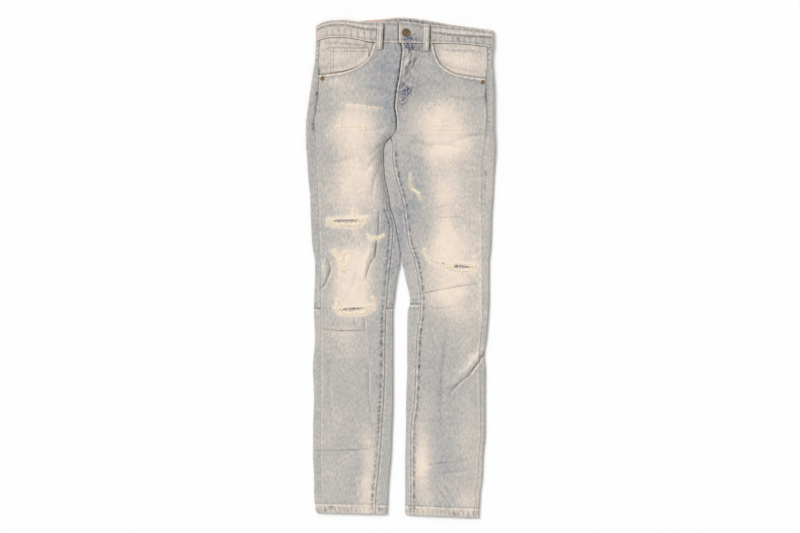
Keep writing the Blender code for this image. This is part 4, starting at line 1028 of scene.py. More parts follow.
def band_stretch(stretch, steps, shares, inset):
    """Rows of points over one stretch of the waistband."""
    right, left = LEGS["right"].outer(BAND_TURN_Y), LEGS["left"].outer(BAND_TURN_Y)
    ends = {
        "under": (BAND_UNDER_END, right + BAND_TURN_TOP),
        "back": (right + BAND_TURN_UNDER, left - BAND_TURN_UNDER),
        "over": (left - BAND_TURN_TOP, BAND_OVER_END),
    }
    shares = shares[None, :]
    if stretch in ends:
        x = np.linspace(*ends[stretch], steps)[:, None] + 0 * shares
        if stretch == "back":
            y = mix(BAND.back_low(x), BAND.back_top(x), shares)
            marks = band_relief(x, shares + 0 * x, "back")
            return xyz(x, y, under_height(y) + inset), marks
        y = mix(BAND.front_low(x), BAND.front_top(x), shares)
        lap = BAND_LAP * lap_share(x) if stretch == "over" else 0
        marks = band_relief(x, shares + 0 * x, "front")
        calm = ease(np.abs(x - (left if stretch == "over" else right)), 4, 14)
        near = np.hypot(x - BUTTON_AT[0], y - BUTTON_AT[1])
        calm = calm * ease(near, 6, 14)
        return xyz(x, y, band_top(x, y) + lap + marks.rise * calm - inset), marks
    side = "right" if stretch == "right_turn" else "left"
    outward = OUTWARD[side]
    edge = LEGS[side].outer(BAND_TURN_Y)
    turn = np.linspace(0.06, 0.94, steps)[:, None] + 0 * shares
    if side == "left":
        turn = turn[::-1]
    middle = mix(BAND.front_low(edge), BAND.front_top(edge), shares)
    low = under_height(middle)
    radius = (band_top(edge - outward * BAND_TURN_TOP, middle) - low) / 2
    x, z = turned(edge, outward, radius, low, inset, turn)
    plan, _ = turned(edge, outward, radius, low, 0, turn)
    front = turn < TURN_FOLLOWS_BACK
    lower = np.where(front, BAND.front_low(plan), BAND.back_low(plan))
    upper = np.where(front, BAND.front_top(plan), BAND.back_top(plan))
    marks = Marks(x)
    marks.add(fade=0.2)
    return xyz(x, mix(lower, upper, shares), z), marks


BAND_STRETCHES = (("under", 96), ("right_turn", 9), ("back", 170), ("left_turn", 9), ("over", 96))


def band_skin(inset):
    shares = np.linspace(0, 1, 41)
    pieces = [band_stretch(stretch, steps, shares, inset) for stretch, steps in BAND_STRETCHES]
    points = np.concatenate([points for points, _ in pieces])
    marks = Marks(points[..., 0])
    for word in MARK_WORDS:
        setattr(marks, word, np.concatenate([getattr(m, word) + 0 * p[..., 0] for p, m in pieces]))
    return points, marks

def linear(red, green, blue):
    """A screen's colour, in steps of 0 to 255, as linear light."""
    shares = (step / 255 for step in (red, green, blue))
    return tuple(((c + 0.055) / 1.055) ** 2.4 if c > 0.04045 else c / 12.92 for c in shares)


class Tree:
    """Short hand for building a node tree."""

    def __init__(self, tree):
        self.tree = tree

    def node(self, kind, inputs=None, **settings):
        made = self.tree.nodes.new(kind)
        for word, value in settings.items():
            setattr(made, word, value)
        for socket, value in (inputs or {}).items():
            self.feed(made.inputs[socket], value)
        return made

    def get(self, kind, inputs=None, **settings):
        """The first output of a new node."""
        return self.node(kind, inputs, **settings).outputs[0]

    def feed(self, socket, value):
        if isinstance(value, bpy.types.NodeSocket):
            self.tree.links.new(value, socket)
        else:
            socket.default_value = value

    def math(self, operation, a, b=0.0, clamp=False):
        return self.get("ShaderNodeMath", {0: a, 1: b}, operation=operation, use_clamp=clamp)

    def plus(self, a, b):
        return self.math("ADD", a, b)

    def less(self, a, b):
        return self.math("SUBTRACT", a, b)

    def times(self, a, b, clamp=False):
        return self.math("MULTIPLY", a, b, clamp)

    def blend(self, share, a, b, way="MIX"):
        made = self.node("ShaderNodeMix", {"Factor": share, "A": a, "B": b}, data_type="RGBA", blend_type=way)
        return made.outputs["Result"]

    def noise(self, vector, scale, detail=2.0, roughness=0.5, stretch=None):
        if stretch:
            vector = self.get("ShaderNodeMapping", {"Vector": vector, "Scale": stretch})
        return self.get("ShaderNodeTexNoise", {"Vector": vector, "Scale": scale, "Detail": detail,
                                               "Roughness": roughness})

    def spread(self, value, low, high):
        return self.get("ShaderNodeMapRange", {"Value": value, "From Min": low, "From Max": high},
                        interpolation_type="SMOOTHSTEP")

    def attribute(self, word, output="Fac"):
        return self.node("ShaderNodeAttribute", attribute_name=word).outputs[output]

    def group(self, name, **inputs):
        return self.node("ShaderNodeGroup", inputs, node_tree=bpy.data.node_groups[name]).outputs

    def vector(self, x=0.0, y=0.0, z=0.0):
        return self.get("ShaderNodeCombineXYZ", {0: x, 1: y, 2: z})

    def vector_math(self, operation, a, b):
        return self.get("ShaderNodeVectorMath", {0: a, "Scale" if operation == "SCALE" else 1: b},
                        operation=operation)

    def random(self, seed, low=0.0, high=1.0):
        made = self.node("FunctionNodeRandomValue", {2: low, 3: high, "Seed": seed}, data_type="FLOAT")
        return made.outputs[1]

    def resample(self, curve, length):
        return self.get("GeometryNodeResampleCurve", {"Curve": curve, "Length": length}, mode="LENGTH")

    def strand(self, curve, thickness):
        """A closed thread with four sides along a curve."""
        profile = self.node("GeometryNodeCurvePrimitiveCircle", {"Resolution": 4})
        self.feed(profile.inputs["Radius"], self.times(thickness, 0.5))
        return self.get("GeometryNodeCurveToMesh", {"Curve": curve, "Profile Curve": profile.outputs[0],
                                                    "Fill Caps": True})

    def scatter(self, places, item, rotation, scale):
        return self.get("GeometryNodeInstanceOnPoints", {"Points": places, "Instance": item,
                                                         "Rotation": rotation, "Scale": scale})


def new_group(name, kind, first, inputs, outputs):
    """A node group's inner tree, inputs and outputs, with named sockets."""
    group = bpy.data.node_groups.new(name, kind)
    group.interface.new_socket(first, in_out="INPUT", socket_type=f"NodeSocket{first}")
    for word, value in inputs.items():
        socket_type = "NodeSocketInt" if word == "Seed" else "NodeSocketFloat"
        group.interface.new_socket(word, in_out="INPUT", socket_type=socket_type).default_value = value
    for word in outputs:
        socket_type = "NodeSocketGeometry" if word == "Geometry" else "NodeSocketFloat"
        group.interface.new_socket(word, in_out="OUTPUT", socket_type=socket_type)
    return Tree(group), group.nodes.new("NodeGroupInput").outputs, group.nodes.new("NodeGroupOutput").inputs


def shader_group(name, inputs, outputs):
    return new_group(name, "ShaderNodeTree", "Vector", inputs, outputs)


def make_twill_group():
    """Twill weave: slanting ribs, broken where each weft thread passes under."""
    tree, given, out = shader_group("Twill Weave", {"Pitch": 0.0011}, ("Rib", "Slub"))
    parts = tree.node("ShaderNodeSeparateXYZ", {"Vector": given["Vector"]}).outputs
    slant = tree.plus(parts["X"], tree.times(parts["Y"], 0.62))
    turn = tree.math("DIVIDE", math.tau, given["Pitch"])
    rib = tree.math("SINE", tree.times(slant, turn))
    weft = tree.math("SINE", tree.times(parts["Y"], tree.times(turn, 1.7)))
    woven = tree.plus(tree.times(rib, 0.34), tree.times(weft, 0.16))
    tree.feed(out["Rib"], tree.plus(woven, 0.5))
    slub = tree.noise(given["Vector"], 560, 4, 0.65, stretch=(1, 0.16, 1))
    tree.feed(out["Slub"], tree.spread(slub, 0.3, 0.7))


# Uneven bleaching: clouds, mottle, patches that lean warm or cool, and breaks in the dye of the puckers.
# Each is a noise with its scale, detail, roughness and stretch, spread between a low and a high value.
CLOUDS = (
    ("Cloud", 24, 4, 0.6, (1, 0.75, 1), 0.3, 0.7), ("Mottle", 190, 3, 0.7, (1, 0.7, 1), 0.3, 0.7),
    ("Warmth", 48, 2, 0.5, None, 0.34, 0.66), ("Pucker", 300, 3, 0.6, (1, 0.75, 1), 0.4, 0.58),
)


def make_wash_group():
    tree, given, out = shader_group("Bleach Clouds", {"Size": 1.0}, [row[0] for row in CLOUDS])
    for word, scale, detail, roughness, stretch, low, high in CLOUDS:
        cloud = tree.noise(given["Vector"], tree.times(given["Size"], scale), detail, roughness, stretch)
        tree.feed(out[word], tree.spread(cloud, low, high))


def make_ply_group():
    """Twisted thread: slanting plies round a strand."""
    tree, given, out = shader_group("Thread Ply", {"Pitch": 0.0006}, ("Ply",))
    parts = tree.node("ShaderNodeSeparateXYZ", {"Vector": given["Vector"]}).outputs
    slant = tree.plus(tree.plus(parts["X"], parts["Y"]), parts["Z"])
    turned_by = tree.times(slant, tree.math("DIVIDE", math.tau, given["Pitch"]))
    tree.feed(out["Ply"], tree.plus(tree.times(tree.math("SINE", turned_by), 0.5), 0.5))


def new_material(name, roughness, **constants):
    """A new material's tree, its shader's inputs, and Object coordinates."""
    material = bpy.data.materials.new(name)
    material.use_nodes = True
    surface = material.node_tree.nodes["Principled BSDF"]
    surface.inputs["Roughness"].default_value = roughness
    for word, value in constants.items():
        surface.inputs[word.replace("_", " ")].default_value = value
    tree = Tree(material.node_tree)
    return tree, surface.inputs, tree.node("ShaderNodeTexCoord").outputs["Object"]


def add_bump(tree, surface, height, distance, strength):
    tree.feed(surface["Normal"], tree.get("ShaderNodeBump", {"Height": height, "Distance": distance,
                                                             "Strength": strength}))


def rgba(colour):
    return (*colour, 1.0)


def denim_material(colours):
    """Bleached denim: blue-grey, cream where the dye is gone, indigo in the puckers, and painted shade from
    the shade mark.
    """
    tree, surface, where = new_material("Bleached Denim", 0.9, Sheen_Weight=0.12, Sheen_Roughness=0.5,
                                        Specular_IOR_Level=0.2)
    weave = tree.group("Twill Weave", Vector=tree.attribute("cloth", "Vector"))
    wash = tree.group("Bleach Clouds", Vector=where)
    loose = tree.times(tree.less(wash["Cloud"], 0.5), 0.22)
    loose = tree.plus(loose, tree.times(tree.less(wash["Mottle"], 0.5), 0.12))
    loose = tree.plus(loose, tree.times(tree.less(weave["Slub"], 0.5), 0.16))
    bleached = tree.plus(tree.plus(tree.attribute("fade"), loose), 0.16)
    colour = tree.blend(tree.spread(bleached, -0.45, 0.3), rgba(colours.dyed), rgba(colours.washed))
    colour = tree.blend(tree.spread(bleached, 0.2, 1.05), colour, rgba(colours.cream))
    colour = tree.blend(tree.times(wash["Warmth"], 0.2), colour, rgba(colours.blush))
    loose = tree.plus(tree.times(wash["Pucker"], 0.95), 0.22)
    colour = tree.blend(tree.times(tree.attribute("tint"), loose, clamp=True), colour, rgba(colours.indigo))
    rubbed = tree.times(tree.attribute("ridge"), tree.plus(wash["Mottle"], 0.3), clamp=True)
    colour = tree.blend(rubbed, colour, rgba(colours.rubbed))
    # painted shade: the shade mark darkens the colour towards the painted shade colour in seams, crease
    # bottoms and beside raised edges
    even = tree.blend(tree.attribute("shade"), colour, rgba(colours.painted_shade))
    grain = tree.plus(tree.times(weave["Slub"], 0.1), tree.times(weave["Rib"], 0.1))
    grain = tree.plus(grain, tree.times(wash["Mottle"], 0.07))
    colour = tree.blend(1.0, even, tree.get("ShaderNodeCombineColor", {0: grain, 1: grain, 2: grain}), "ADD")
    colour = tree.blend(1.0, colour, (0.135, 0.135, 0.13, 1), "SUBTRACT")
    colour = tree.blend(tree.times(tree.spread(bleached, 0.35, 0.9), 0.55), colour, even)
    tree.feed(surface["Base Color"], colour)
    tree.feed(surface["Roughness"], tree.less(0.96, tree.times(rubbed, 0.12)))
    height = tree.plus(tree.times(weave["Rib"], 0.5), weave["Slub"])
    add_bump(tree, surface, tree.plus(height, tree.times(wash["Mottle"], 0.5)), 0.0003, 0.42)


def inside_material(colours):
    """The denim's inner face: undyed weft with some warp between."""
    tree, surface, where = new_material("Denim Inside", 0.94, Sheen_Weight=0.1, Specular_IOR_Level=0.2)
    rib = tree.group("Twill Weave", Vector=where, Pitch=0.0013)["Rib"]
    mottle = tree.group("Bleach Clouds", Vector=where, Size=1.6)["Mottle"]
    mixed = tree.plus(tree.times(rib, 0.35), tree.times(mottle, 0.5))
    tree.feed(surface["Base Color"], tree.blend(mixed, rgba(colours.inside_dark), rgba(colours.inside_light)))
    add_bump(tree, surface, rib, 0.0003, 0.5)


def thread_material(name, colour, stained, share):
    """Cotton thread, in stitches and loose yarns."""
    tree, surface, where = new_material(name, 0.88, Sheen_Weight=0.2, Specular_IOR_Level=0.25)
    ply = tree.group("Thread Ply", Vector=where)["Ply"]
    mottle = tree.group("Bleach Clouds", Vector=where, Size=2.2)["Mottle"]
    shade = tree.blend(tree.times(tree.spread(mottle, 0.4, 0.95), share), rgba(colour), rgba(stained))
    shade = tree.blend(tree.times(ply, 0.05), shade, (0.3, 0.27, 0.22, 1), "MULTIPLY")
    tree.feed(surface["Base Color"], shade)
    add_bump(tree, surface, ply, 0.0001, 0.5)


def metal_material(name, colour, dull, roughness):
    """Plated metal, bright and dull in spots."""
    tree, surface, where = new_material(name, roughness, Metallic=1.0)
    spots = tree.noise(where, 700, 3, 0.6)
    fine = tree.noise(where, 3200, 2, 0.5)
    tree.feed(surface["Base Color"], tree.blend(tree.spread(spots, 0.38, 0.66), rgba(dull), rgba(colour)))
    tree.feed(surface["Roughness"], tree.plus(roughness - 0.08, tree.times(fine, 0.2)))
    add_bump(tree, surface, spots, 0.00012, 0.4)


def label_material(colours):
    """A bare woven label, faded pink, with fine ribs."""
    tree, surface, where = new_material("Label Cloth", 0.7, Sheen_Weight=0.3)
    rib = tree.group("Twill Weave", Vector=where, Pitch=0.0008)["Rib"]
    mottle = tree.group("Bleach Clouds", Vector=where, Size=2.5)["Mottle"]
    colour = tree.blend(tree.times(mottle, 0.5), rgba(colours.label), rgba(colours.label_worn))
    tree.feed(surface["Base Color"], colour)
    add_bump(tree, surface, rib, 0.0002, 0.4)


def floor_material(colours):
    tree, surface, where = new_material("Paper Floor", 0.8, Specular_IOR_Level=0.1)
    fibres = tree.times(tree.noise(where, 120, 3, 0.5), 0.06)
    tree.feed(surface["Base Color"], tree.blend(fibres, rgba(colours.floor), (0.85, 0.85, 0.84, 1)))


def look(name):
    """A material that an operator has asked for, made once."""
    if "Twill Weave" not in bpy.data.node_groups:
        make_twill_group()
        make_wash_group()
        make_ply_group()
    if name not in bpy.data.materials:
        colours = bpy.context.scene.jeans_colours
        maker, *values = {
            "Bleached Denim": (denim_material, colours),
            "Denim Inside": (inside_material, colours),
            "Stitch Thread": (thread_material, name, colours.stitch, colours.stitch_stained, 0.6),
            "Frayed Cotton": (thread_material, name, colours.yarn, colours.yarn_stained, 0.7),
            "Aged Copper": (metal_material, name, colours.copper, colours.copper_dull, 0.4),
            "Rivet Metal": (metal_material, name, colours.rivet, colours.copper_dull, 0.45),
            "Label Cloth": (label_material, colours),
            "Paper Floor": (floor_material, colours),
        }[name]
        maker(*values)
    return bpy.data.materials[name]


def geometry_tree(name, **inputs):
    """An empty Geometry Nodes tree with named inputs."""
    return new_group(name, "GeometryNodeTree", "Geometry", inputs, ["Geometry"])


def finish_tree(tree, out, instances, material):
    real = tree.get("GeometryNodeRealizeInstances", {"Geometry": instances})
    made = tree.get("GeometryNodeSetMaterial", {"Geometry": real, "Material": look(material)})
    tree.feed(out["Geometry"], made)


def make_stitch_tree():
    """Stitches: short capsules along a seam, sunk at both ends."""
    tree, given, out = geometry_tree("Stitches Along Seams", Pitch=0.0034, Length=0.0026,
                                     Thickness=0.0007, Seed=7)
    spaced = tree.resample(given["Geometry"], given["Pitch"])
    ball = tree.get("GeometryNodeMeshUVSphere", {"Segments": 6, "Rings": 4, "Radius": 0.5})
    size = tree.vector(given["Length"], given["Thickness"], given["Thickness"])
    shaped = tree.get("GeometryNodeTransform", {"Geometry": ball, "Scale": size})
    tangent = tree.get("GeometryNodeInputTangent")
    facing = tree.get("FunctionNodeAlignRotationToVector", {"Vector": tangent}, axis="X")
    laid = tree.scatter(spaced, shaped, facing, tree.random(given["Seed"], 0.82, 1.1))
    finish_tree(tree, out, laid, "Stitch Thread")


def make_yarn_tree():
    """Loose weft yarns, piled at random as wide as the path's radius."""
    tree, given, out = geometry_tree("Loose Yarns", Pitch=0.0004, Length=0.006, Thickness=0.0003, Lift=0.0005,
                                     Turn=0.0, Disorder=0.3, Seed=3)
    seed = [tree.plus(given["Seed"], step) if step else given["Seed"] for step in range(4)]
    spaced = tree.resample(given["Geometry"], given["Pitch"])
    sideways = tree.vector_math("CROSS_PRODUCT", tree.get("GeometryNodeInputTangent"), (0, 0, 1))
    reach = tree.times(tree.random(seed[0], -1, 1), tree.get("GeometryNodeInputRadius"))
    shift = tree.vector_math("SCALE", sideways, reach)
    moved = tree.vector_math("ADD", shift, tree.vector(z=tree.random(seed[1], 0.0, given["Lift"])))
    spots = tree.get("GeometryNodeSetPosition", {"Geometry": spaced, "Offset": moved})
    half = tree.times(given["Length"], 0.5)
    arc = tree.get("GeometryNodeCurveQuadraticBezier", {
        "Resolution": 4, "Start": tree.vector(tree.times(half, -1)),
        "Middle": tree.vector(y=tree.times(half, 0.3), z=given["Lift"]), "End": tree.vector(half)})
    yarn = tree.strand(arc, given["Thickness"])
    sway = tree.random(seed[2], tree.times(given["Disorder"], -1), given["Disorder"])
    spin = tree.vector(z=tree.plus(given["Turn"], sway))
    laid = tree.scatter(spots, yarn, spin, tree.random(seed[3], 0.55, 1.2))
    finish_tree(tree, out, laid, "Frayed Cotton")


def make_strand_tree():
    """Whole yarns: a round thread along each path."""
    tree, given, out = geometry_tree("Stretched Yarns", Thickness=0.0005, Wander=0.0004, Seed=5)
    spaced = tree.resample(given["Geometry"], 0.004)
    drift = tree.get("FunctionNodeRandomValue", {0: (-1, -1, -0.5), 1: (1, 1, 1), "Seed": given["Seed"]},
                     data_type="FLOAT_VECTOR")
    shift = tree.vector_math("SCALE", drift, given["Wander"])
    moved = tree.get("GeometryNodeSetPosition", {"Geometry": spaced, "Offset": shift})
    finish_tree(tree, out, tree.strand(moved, given["Thickness"]), "Frayed Cotton")


def grow(name, paths, tree_name, radii=None, **inputs):
    """The plain mesh that a Geometry Nodes tree makes of paths in millimetres."""
    makers = {"Stitches Along Seams": make_stitch_tree, "Loose Yarns": make_yarn_tree,
              "Stretched Yarns": make_strand_tree}
    if tree_name not in bpy.data.node_groups:
        makers[tree_name]()
    curve = bpy.data.curves.new(name + "_path", "CURVE")
    curve.dimensions = "3D"
    for k, path in enumerate(paths):
        spline = curve.splines.new("POLY")
        spline.points.add(len(path) - 1)
        for point, place in zip(spline.points, path):
            point.co = (*(float(c) * MM for c in place), 1)
            point.radius = radii[k] * MM if radii else 1
    guide = linked(name + "_path", curve)
    modifier = guide.modifiers.new("grow", "NODES")
    modifier.node_group = bpy.data.node_groups[tree_name]
    for socket in modifier.node_group.interface.items_tree:
        if socket.item_type == "SOCKET" and socket.in_out == "INPUT" and socket.name in inputs:
            modifier[socket.identifier] = inputs[socket.name]
    mesh = made_plain(guide)
    mesh.name = name
    bpy.data.objects.remove(guide, do_unlink=True)
    if not mesh.polygons:
        raise RuntimeError(f"{name} came out empty")
    return mesh

FOLDED_LOOKS = ("Bleached Denim", "Bleached Denim")


def build_front(side, sizes):
    """A fine front panel, with its rips and pocket opening cut out."""
    name = f"front_{side}"
    outer, inner = front_skins(side, sizes)
    corner_x, corner_y = SCOOP_CORNER[side]
    opening = scoop_path(side, 70) + [(corner_x, corner_y), (SCOOPS[side][0].x, corner_y)]
    torn = [rip_outline(rip) for rip in RIPS if rip.leg == side]
    cutters = [prism(opening, *SCOOP_CUT)] + [prism(outline, *RIP_CUT) for outline in torn]
    mesh = cut_with(wall_mesh(name, outer, inner), cutters)
    places = np.empty(len(mesh.vertices) * 3)
    mesh.vertices.foreach_get("co", places)
    places = places.reshape(-1, 3) / MM
    write_marks(mesh, front_marks(side, places[:, 0], places[:, 1]), places * (MM, MM, 0))
    piece = cloth_piece(name, mesh, "denim_worn")
    declare_sheet(piece, outer, taken=sum(abs(signed_area(outline)) for outline in (opening, *torn)))


def facing_drop(side, x, y):
    """How far the facing lies below the front panel's upper face."""
    inside, _ = nearest(scoop_path(side), x, y)
    past_start = OUTWARD[side] * (x - SCOOPS[side][0].x) > 0
    showing = np.where(past_start & (y > SCOOP_CURVES[side](x)), inside, 0)
    return FACING_DROP[side] * (1 - ease(showing, DROP_FULL, DROP_NONE))


def facing_low(side, x):
    start = SCOOPS[side][1].x
    return SCOOP_CURVES[side](np.where(OUTWARD[side] * (x - start) > 0, x, start)) - FACING_UNDER


def build_facing(side):
    """A pocket facing, with creases that run in from the side seam, and painted shade where the front's scoop
    edge overhangs it.
    """
    outward = OUTWARD[side]
    inward, down = grid(64, 48)
    seam = LEGS[side].out_seam(460.0) - outward * HALF_GAP
    x = mix(seam, FACING_END[side], inward) + 0 * down
    y = mix(front_low(x) - FACING_GAP, facing_low(side, x), down)
    x = x + (LEGS[side].out_seam(y) - LEGS[side].out_seam(460.0)) * (1 - inward)
    marks = Marks(x)
    marks.add(fade=0.4 + 0.26 * bump(inward, 0.5, 0.3) * bump(down, 0.5, 0.35))
    for row, depth in ((0.1, 0.6), (0.24, 0.6)) if side == "right" else ((0.14, 0.45), (0.7, 0.3)):
        crease = bump(down, row + 0.08 * inward * (1 if row < 0.5 else -1), 0.035)
        fading = ease(inward, 0.02, 0.2) * ease(inward, 0.95, 0.6)
        marks.add(rise=-depth * crease * fading, tint=0.8 * depth * crease * fading)
    edge, _ = nearest(scoop_path(side), x, y)
    # painted shade under the front's scoop edge
    marks.add(shade=0.55 * bump(edge, 0, 2.4) + 0.16 * bump(edge, 0, 8))
    marks.add(tint=0.35 * dashes(inward * 90, 13, 1.0) * bump(down, 0.06, 0.06))
    undulate(marks, x, y, outward + 0.6)
    z = top_height(side, x, y) - facing_drop(side, x, y) + 0.7 * marks.rise * ease(inward, 0, 0.08)
    lay_panel(f"pocket_facing_{side}", xyz(x, y, z), FACING_CLOTH, marks)


def coin_ground(x, y):
    """Height of the coin pocket's upper face."""
    return top_height("right", x, y) - facing_drop("right", x, y) + SEAM_GAP + COIN_CLOTH


def build_coin_pocket():
    """The coin pocket, with puckers down its side and along its mouth."""
    across, down = grid(36, 30)
    x = mix(COIN_X[0], COIN_X[1] + 13, across) + 0 * down
    y = mix(COIN_TOP, mix(COIN_TOP, facing_low("right", x), 0.75), down)
    marks = Marks(x)
    marks.add(fade=0.5)
    mouth, side = COIN_TOP - y, x - COIN_X[0]
    for line in COIN_ROWS:
        for away, place, strength in ((side, y, 0.8), (mouth, x, 0.65)):
            row = mix(0.35, 1, dashes(place, 8, line)) * bump(away, line, 1.6)
            marks.add(rise=-0.3 * bump(away, line, 1.4), tint=strength * row)
    # painted shade under the coin pocket's mouth and, below, beside the scoop edge
    marks.add(ridge=0.6 * bump(side, 0, 1.2), shade=0.4 * bump(mouth, 0, 1.1))
    marks.add(shade=0.4 * bump(nearest(scoop_path("right"), x, y)[0], 0, 2.4))
    undulate(marks, x, y, 2.3)
    outer = xyz(x, y, coin_ground(x, y) + marks.rise + 0.3)
    lay_panel("coin_pocket", outer, COIN_CLOTH, marks)


def band_height(x, y):
    """Height of the band's upper face, with its lap."""
    return band_top(x, y) + np.where(x > BAND_OVER_END, BAND_LAP * lap_share(x), 0)


def build_waistband():
    outer, marks = band_skin(0)
    inner, _ = band_skin(BAND_CLOTH)
    low = float(band_top(*BUTTON_AT)) + (BAND_LAP - BAND_CLOTH) / 2
    turns = np.linspace(0, math.tau, 24, endpoint=False)
    ring = [(BUTTON_AT[0] + BUTTONHOLE_RADIUS * math.cos(a), BUTTON_AT[1] + BUTTONHOLE_RADIUS * math.sin(a))
            for a in turns]
    mesh = cut_with(wall_mesh("band", outer, inner, marks), [prism(ring, low, low + 8)])
    piece = cloth_piece("waistband", mesh, looks=FOLDED_LOOKS)
    across, along = spans(outer)


def loop_ground(loop, y):
    """Height of the underside of a front belt loop."""
    side = "right" if loop.x < 0 else "left"
    edges = [loop.x + reach * LOOP_WIDTH / 2 for reach in (-1, 0, 1)]
    ground = np.max([np.maximum(band_height(at, y), top_height(side, at, y)) for at in edges], axis=0)
    return ground + LOOP_CLEAR + LOOP_ARCH * np.sin(math.pi * (loop.top - y) / (loop.top - loop.low))


def build_loop(loop):
    """A belt loop with a stitched channel down each side and worn edges."""
    down, across = grid(44, 13)
    across = 2 * across - 1
    y = mix(loop.top, loop.low, down) + 0 * across
    x = loop.x + loop.lean * (1 - 2 * down) + across * LOOP_WIDTH / 2
    marks = Marks(x)
    marks.add(fade=0.3, ridge=0.9 * bump(np.abs(across), 0.95, 0.16))
    channel = bump(np.abs(across), 0.58, 0.2)
    marks.add(rise=-0.22 * channel, tint=0.95 * channel * mix(0.4, 1, dashes(y, 6.5, 0.5)))
    # painted shade on the loop's right edge
    marks.add(shade=0.7 * bump(across, 1, 0.14), ridge=0.5 * bump(across, 0, 0.25))
    marks.add(rise=-0.35 * bump(np.abs(across), 1, 0.1))
    for tack in (0.06, 0.94):
        marks.add(tint=0.6 * bump(down, tack, 0.022), rise=-0.25 * bump(down, tack, 0.03))
    if loop.face == "front":
        low = loop_ground(loop, y)
        outer, inner, rests = xyz(x, y, low + LOOP_CLOTH + marks.rise), xyz(x, y, low), "waistband_cloth"
    else:
        outer, inner, rests = xyz(x, y, -marks.rise), xyz(x, y, LOOP_CLOTH), "floor"
    piece = cloth_piece(loop.name, wall_mesh(loop.name, outer, inner, marks), looks=FOLDED_LOOKS)


def pocket_outline(pocket, u, v):
    """Place on a back pocket: u runs across it, outwards, and v down it."""
    outward = -1 if pocket.x < 0 else 1
    corners = sorted((corner.across, corner.down) for corner in POCKET_CORNERS)
    low_x = u * corners[-1][0]
    down = np.interp(low_x, *zip(*corners))
    top_y = mix(pocket.top_inner, pocket.top_outer, (u + 1) / 2)
    x = pocket.x + outward * mix(u * POCKET_TOP_WIDTH / 2, low_x, v)
    return x, mix(top_y, pocket.top_inner - down, v)


def build_back_pocket(pocket):
    """A patch pocket under the seat, with worn edges and a hemmed mouth."""
    u, v = grid(57, 59)
    u = 2 * u - 1
    x, y = pocket_outline(pocket, u + 0 * v, v + 0 * u)
    rim = np.minimum((1 - np.abs(u)) * 62, np.minimum((1 - v) * 130, v * 130))
    marks = Marks(x)
    marks.add(fade=0.25 + 0.45 * bump(u, 0.1, 0.5) * bump(v, 0.45, 0.4), ridge=0.85 * bump(rim, 0, 1.5))
    marks.add(rise=-0.5 * bump(rim, 0, 1.6), tint=0.35 * dashes(x + y, 9, 0.6) * bump(rim, 4.5, 2.4))
    marks.add(tint=0.5 * bump(v * 130, 18, 1.2), rise=-0.25 * bump(v * 130, 18, 1.5))
    outer = xyz(x, y, -marks.rise)
    piece = cloth_piece(pocket.name, wall_mesh(pocket.name, outer, xyz(x, y, POCKET_CLOTH), marks))
    declare_sheet(piece, outer)


def build_label():
    across, up = grid(24, 14)
    x = mix(*LABEL_X, across) + 0 * up
    top = BAND.back_top(x) - LABEL_INSET
    high = under_height(top) + BAND_CLOTH + SEAM_GAP + LABEL_CLOTH
    high = high + 0.12 * np.sin(x / 3.1) * bump(up, 0.5, 0.5)
    outer = xyz(x, top - LABEL_HEIGHT * (1 - up), high)
    mesh = wall_mesh("label", outer, outer - (0, 0, LABEL_CLOTH), Marks(x))
    piece = cloth_piece("inner_label", mesh, "label", ["Label Cloth"])
    mesh.polygons.foreach_set("material_index", np.zeros(len(mesh.polygons), dtype=np.int32))
    declare_sheet(piece, outer)


def on_cloth(side, points, lift=STITCH_LIFT, front=True):
    """Points in plan, set on the fine cloth of a leg."""
    x, y = (np.array(column, float) for column in zip(*points))
    return xyz(x, y, cloth_height(side, x, y, front) + lift).tolist()


def offset_path(points, across):
    """A path moved sideways, to its left for a positive distance."""
    points = np.array(points, float)
    run = np.gradient(points, axis=0)
    run /= np.linalg.norm(run, axis=1, keepdims=True)
    return (points + across * np.stack([-run[:, 1], run[:, 0]], -1)).tolist()


def seam_line(curve, start, end, shift, steps=260):
    y = np.linspace(start, end, steps)
    return zip(curve(y) + shift, y)


def stitch_paths():
    """All rows of stitching that show from above, by name."""
    rows = {"leg_seams": [], "hems": [], "pockets": [], "band": [], "fly": []}
    for side in SIDES:
        leg, outward = LEGS[side], OUTWARD[side]
        lines = [seam_line(leg.in_seam, 244, -492, outward * shift) for shift in (1.7, 4.6)]
        lines.append(seam_line(leg.out_seam, 384, 190, -outward * 3.2, 80))
        rows["leg_seams"] += [on_cloth(side, line) for line in lines]
        x = np.linspace(leg.out_seam(HEM_READ) - outward * 2, leg.in_seam(HEM_READ) + outward * 2, 70)
        rows["hems"].append(on_cloth(side, zip(x, hem_y(side, x) + HEM_STITCH)))
        for shift in (2.6, 8.4):
            line = offset_path(scoop_path(side, 60)[1:-2], -outward * shift)
            line = [place for place in line if place[1] < front_low(place[0]) - 2]
            rows["pockets"].append(on_cloth(side, line))
    for shift in (0, 6):
        line = np.array(offset_path(FLY_STITCH, shift))
        dense = np.linspace(0, len(line) - 1, 70)
        x, y = (np.interp(dense, range(len(line)), column) for column in line.T)
        rows["fly"].append(on_cloth("left", zip(x, y)))
    for share in (0.09, 0.9):
        for first, last in ((-172, BAND_OVER_END - 2), (BAND_OVER_END + 3, 188)):
            x = np.linspace(first, last, 120)
            y = mix(BAND.front_low(x), BAND.front_top(x), share)
            z = band_height(x, y) + band_relief(x, share + 0 * x, "front").rise + STITCH_LIFT
            rows["band"].append(xyz(x, y, z).tolist())
    return rows


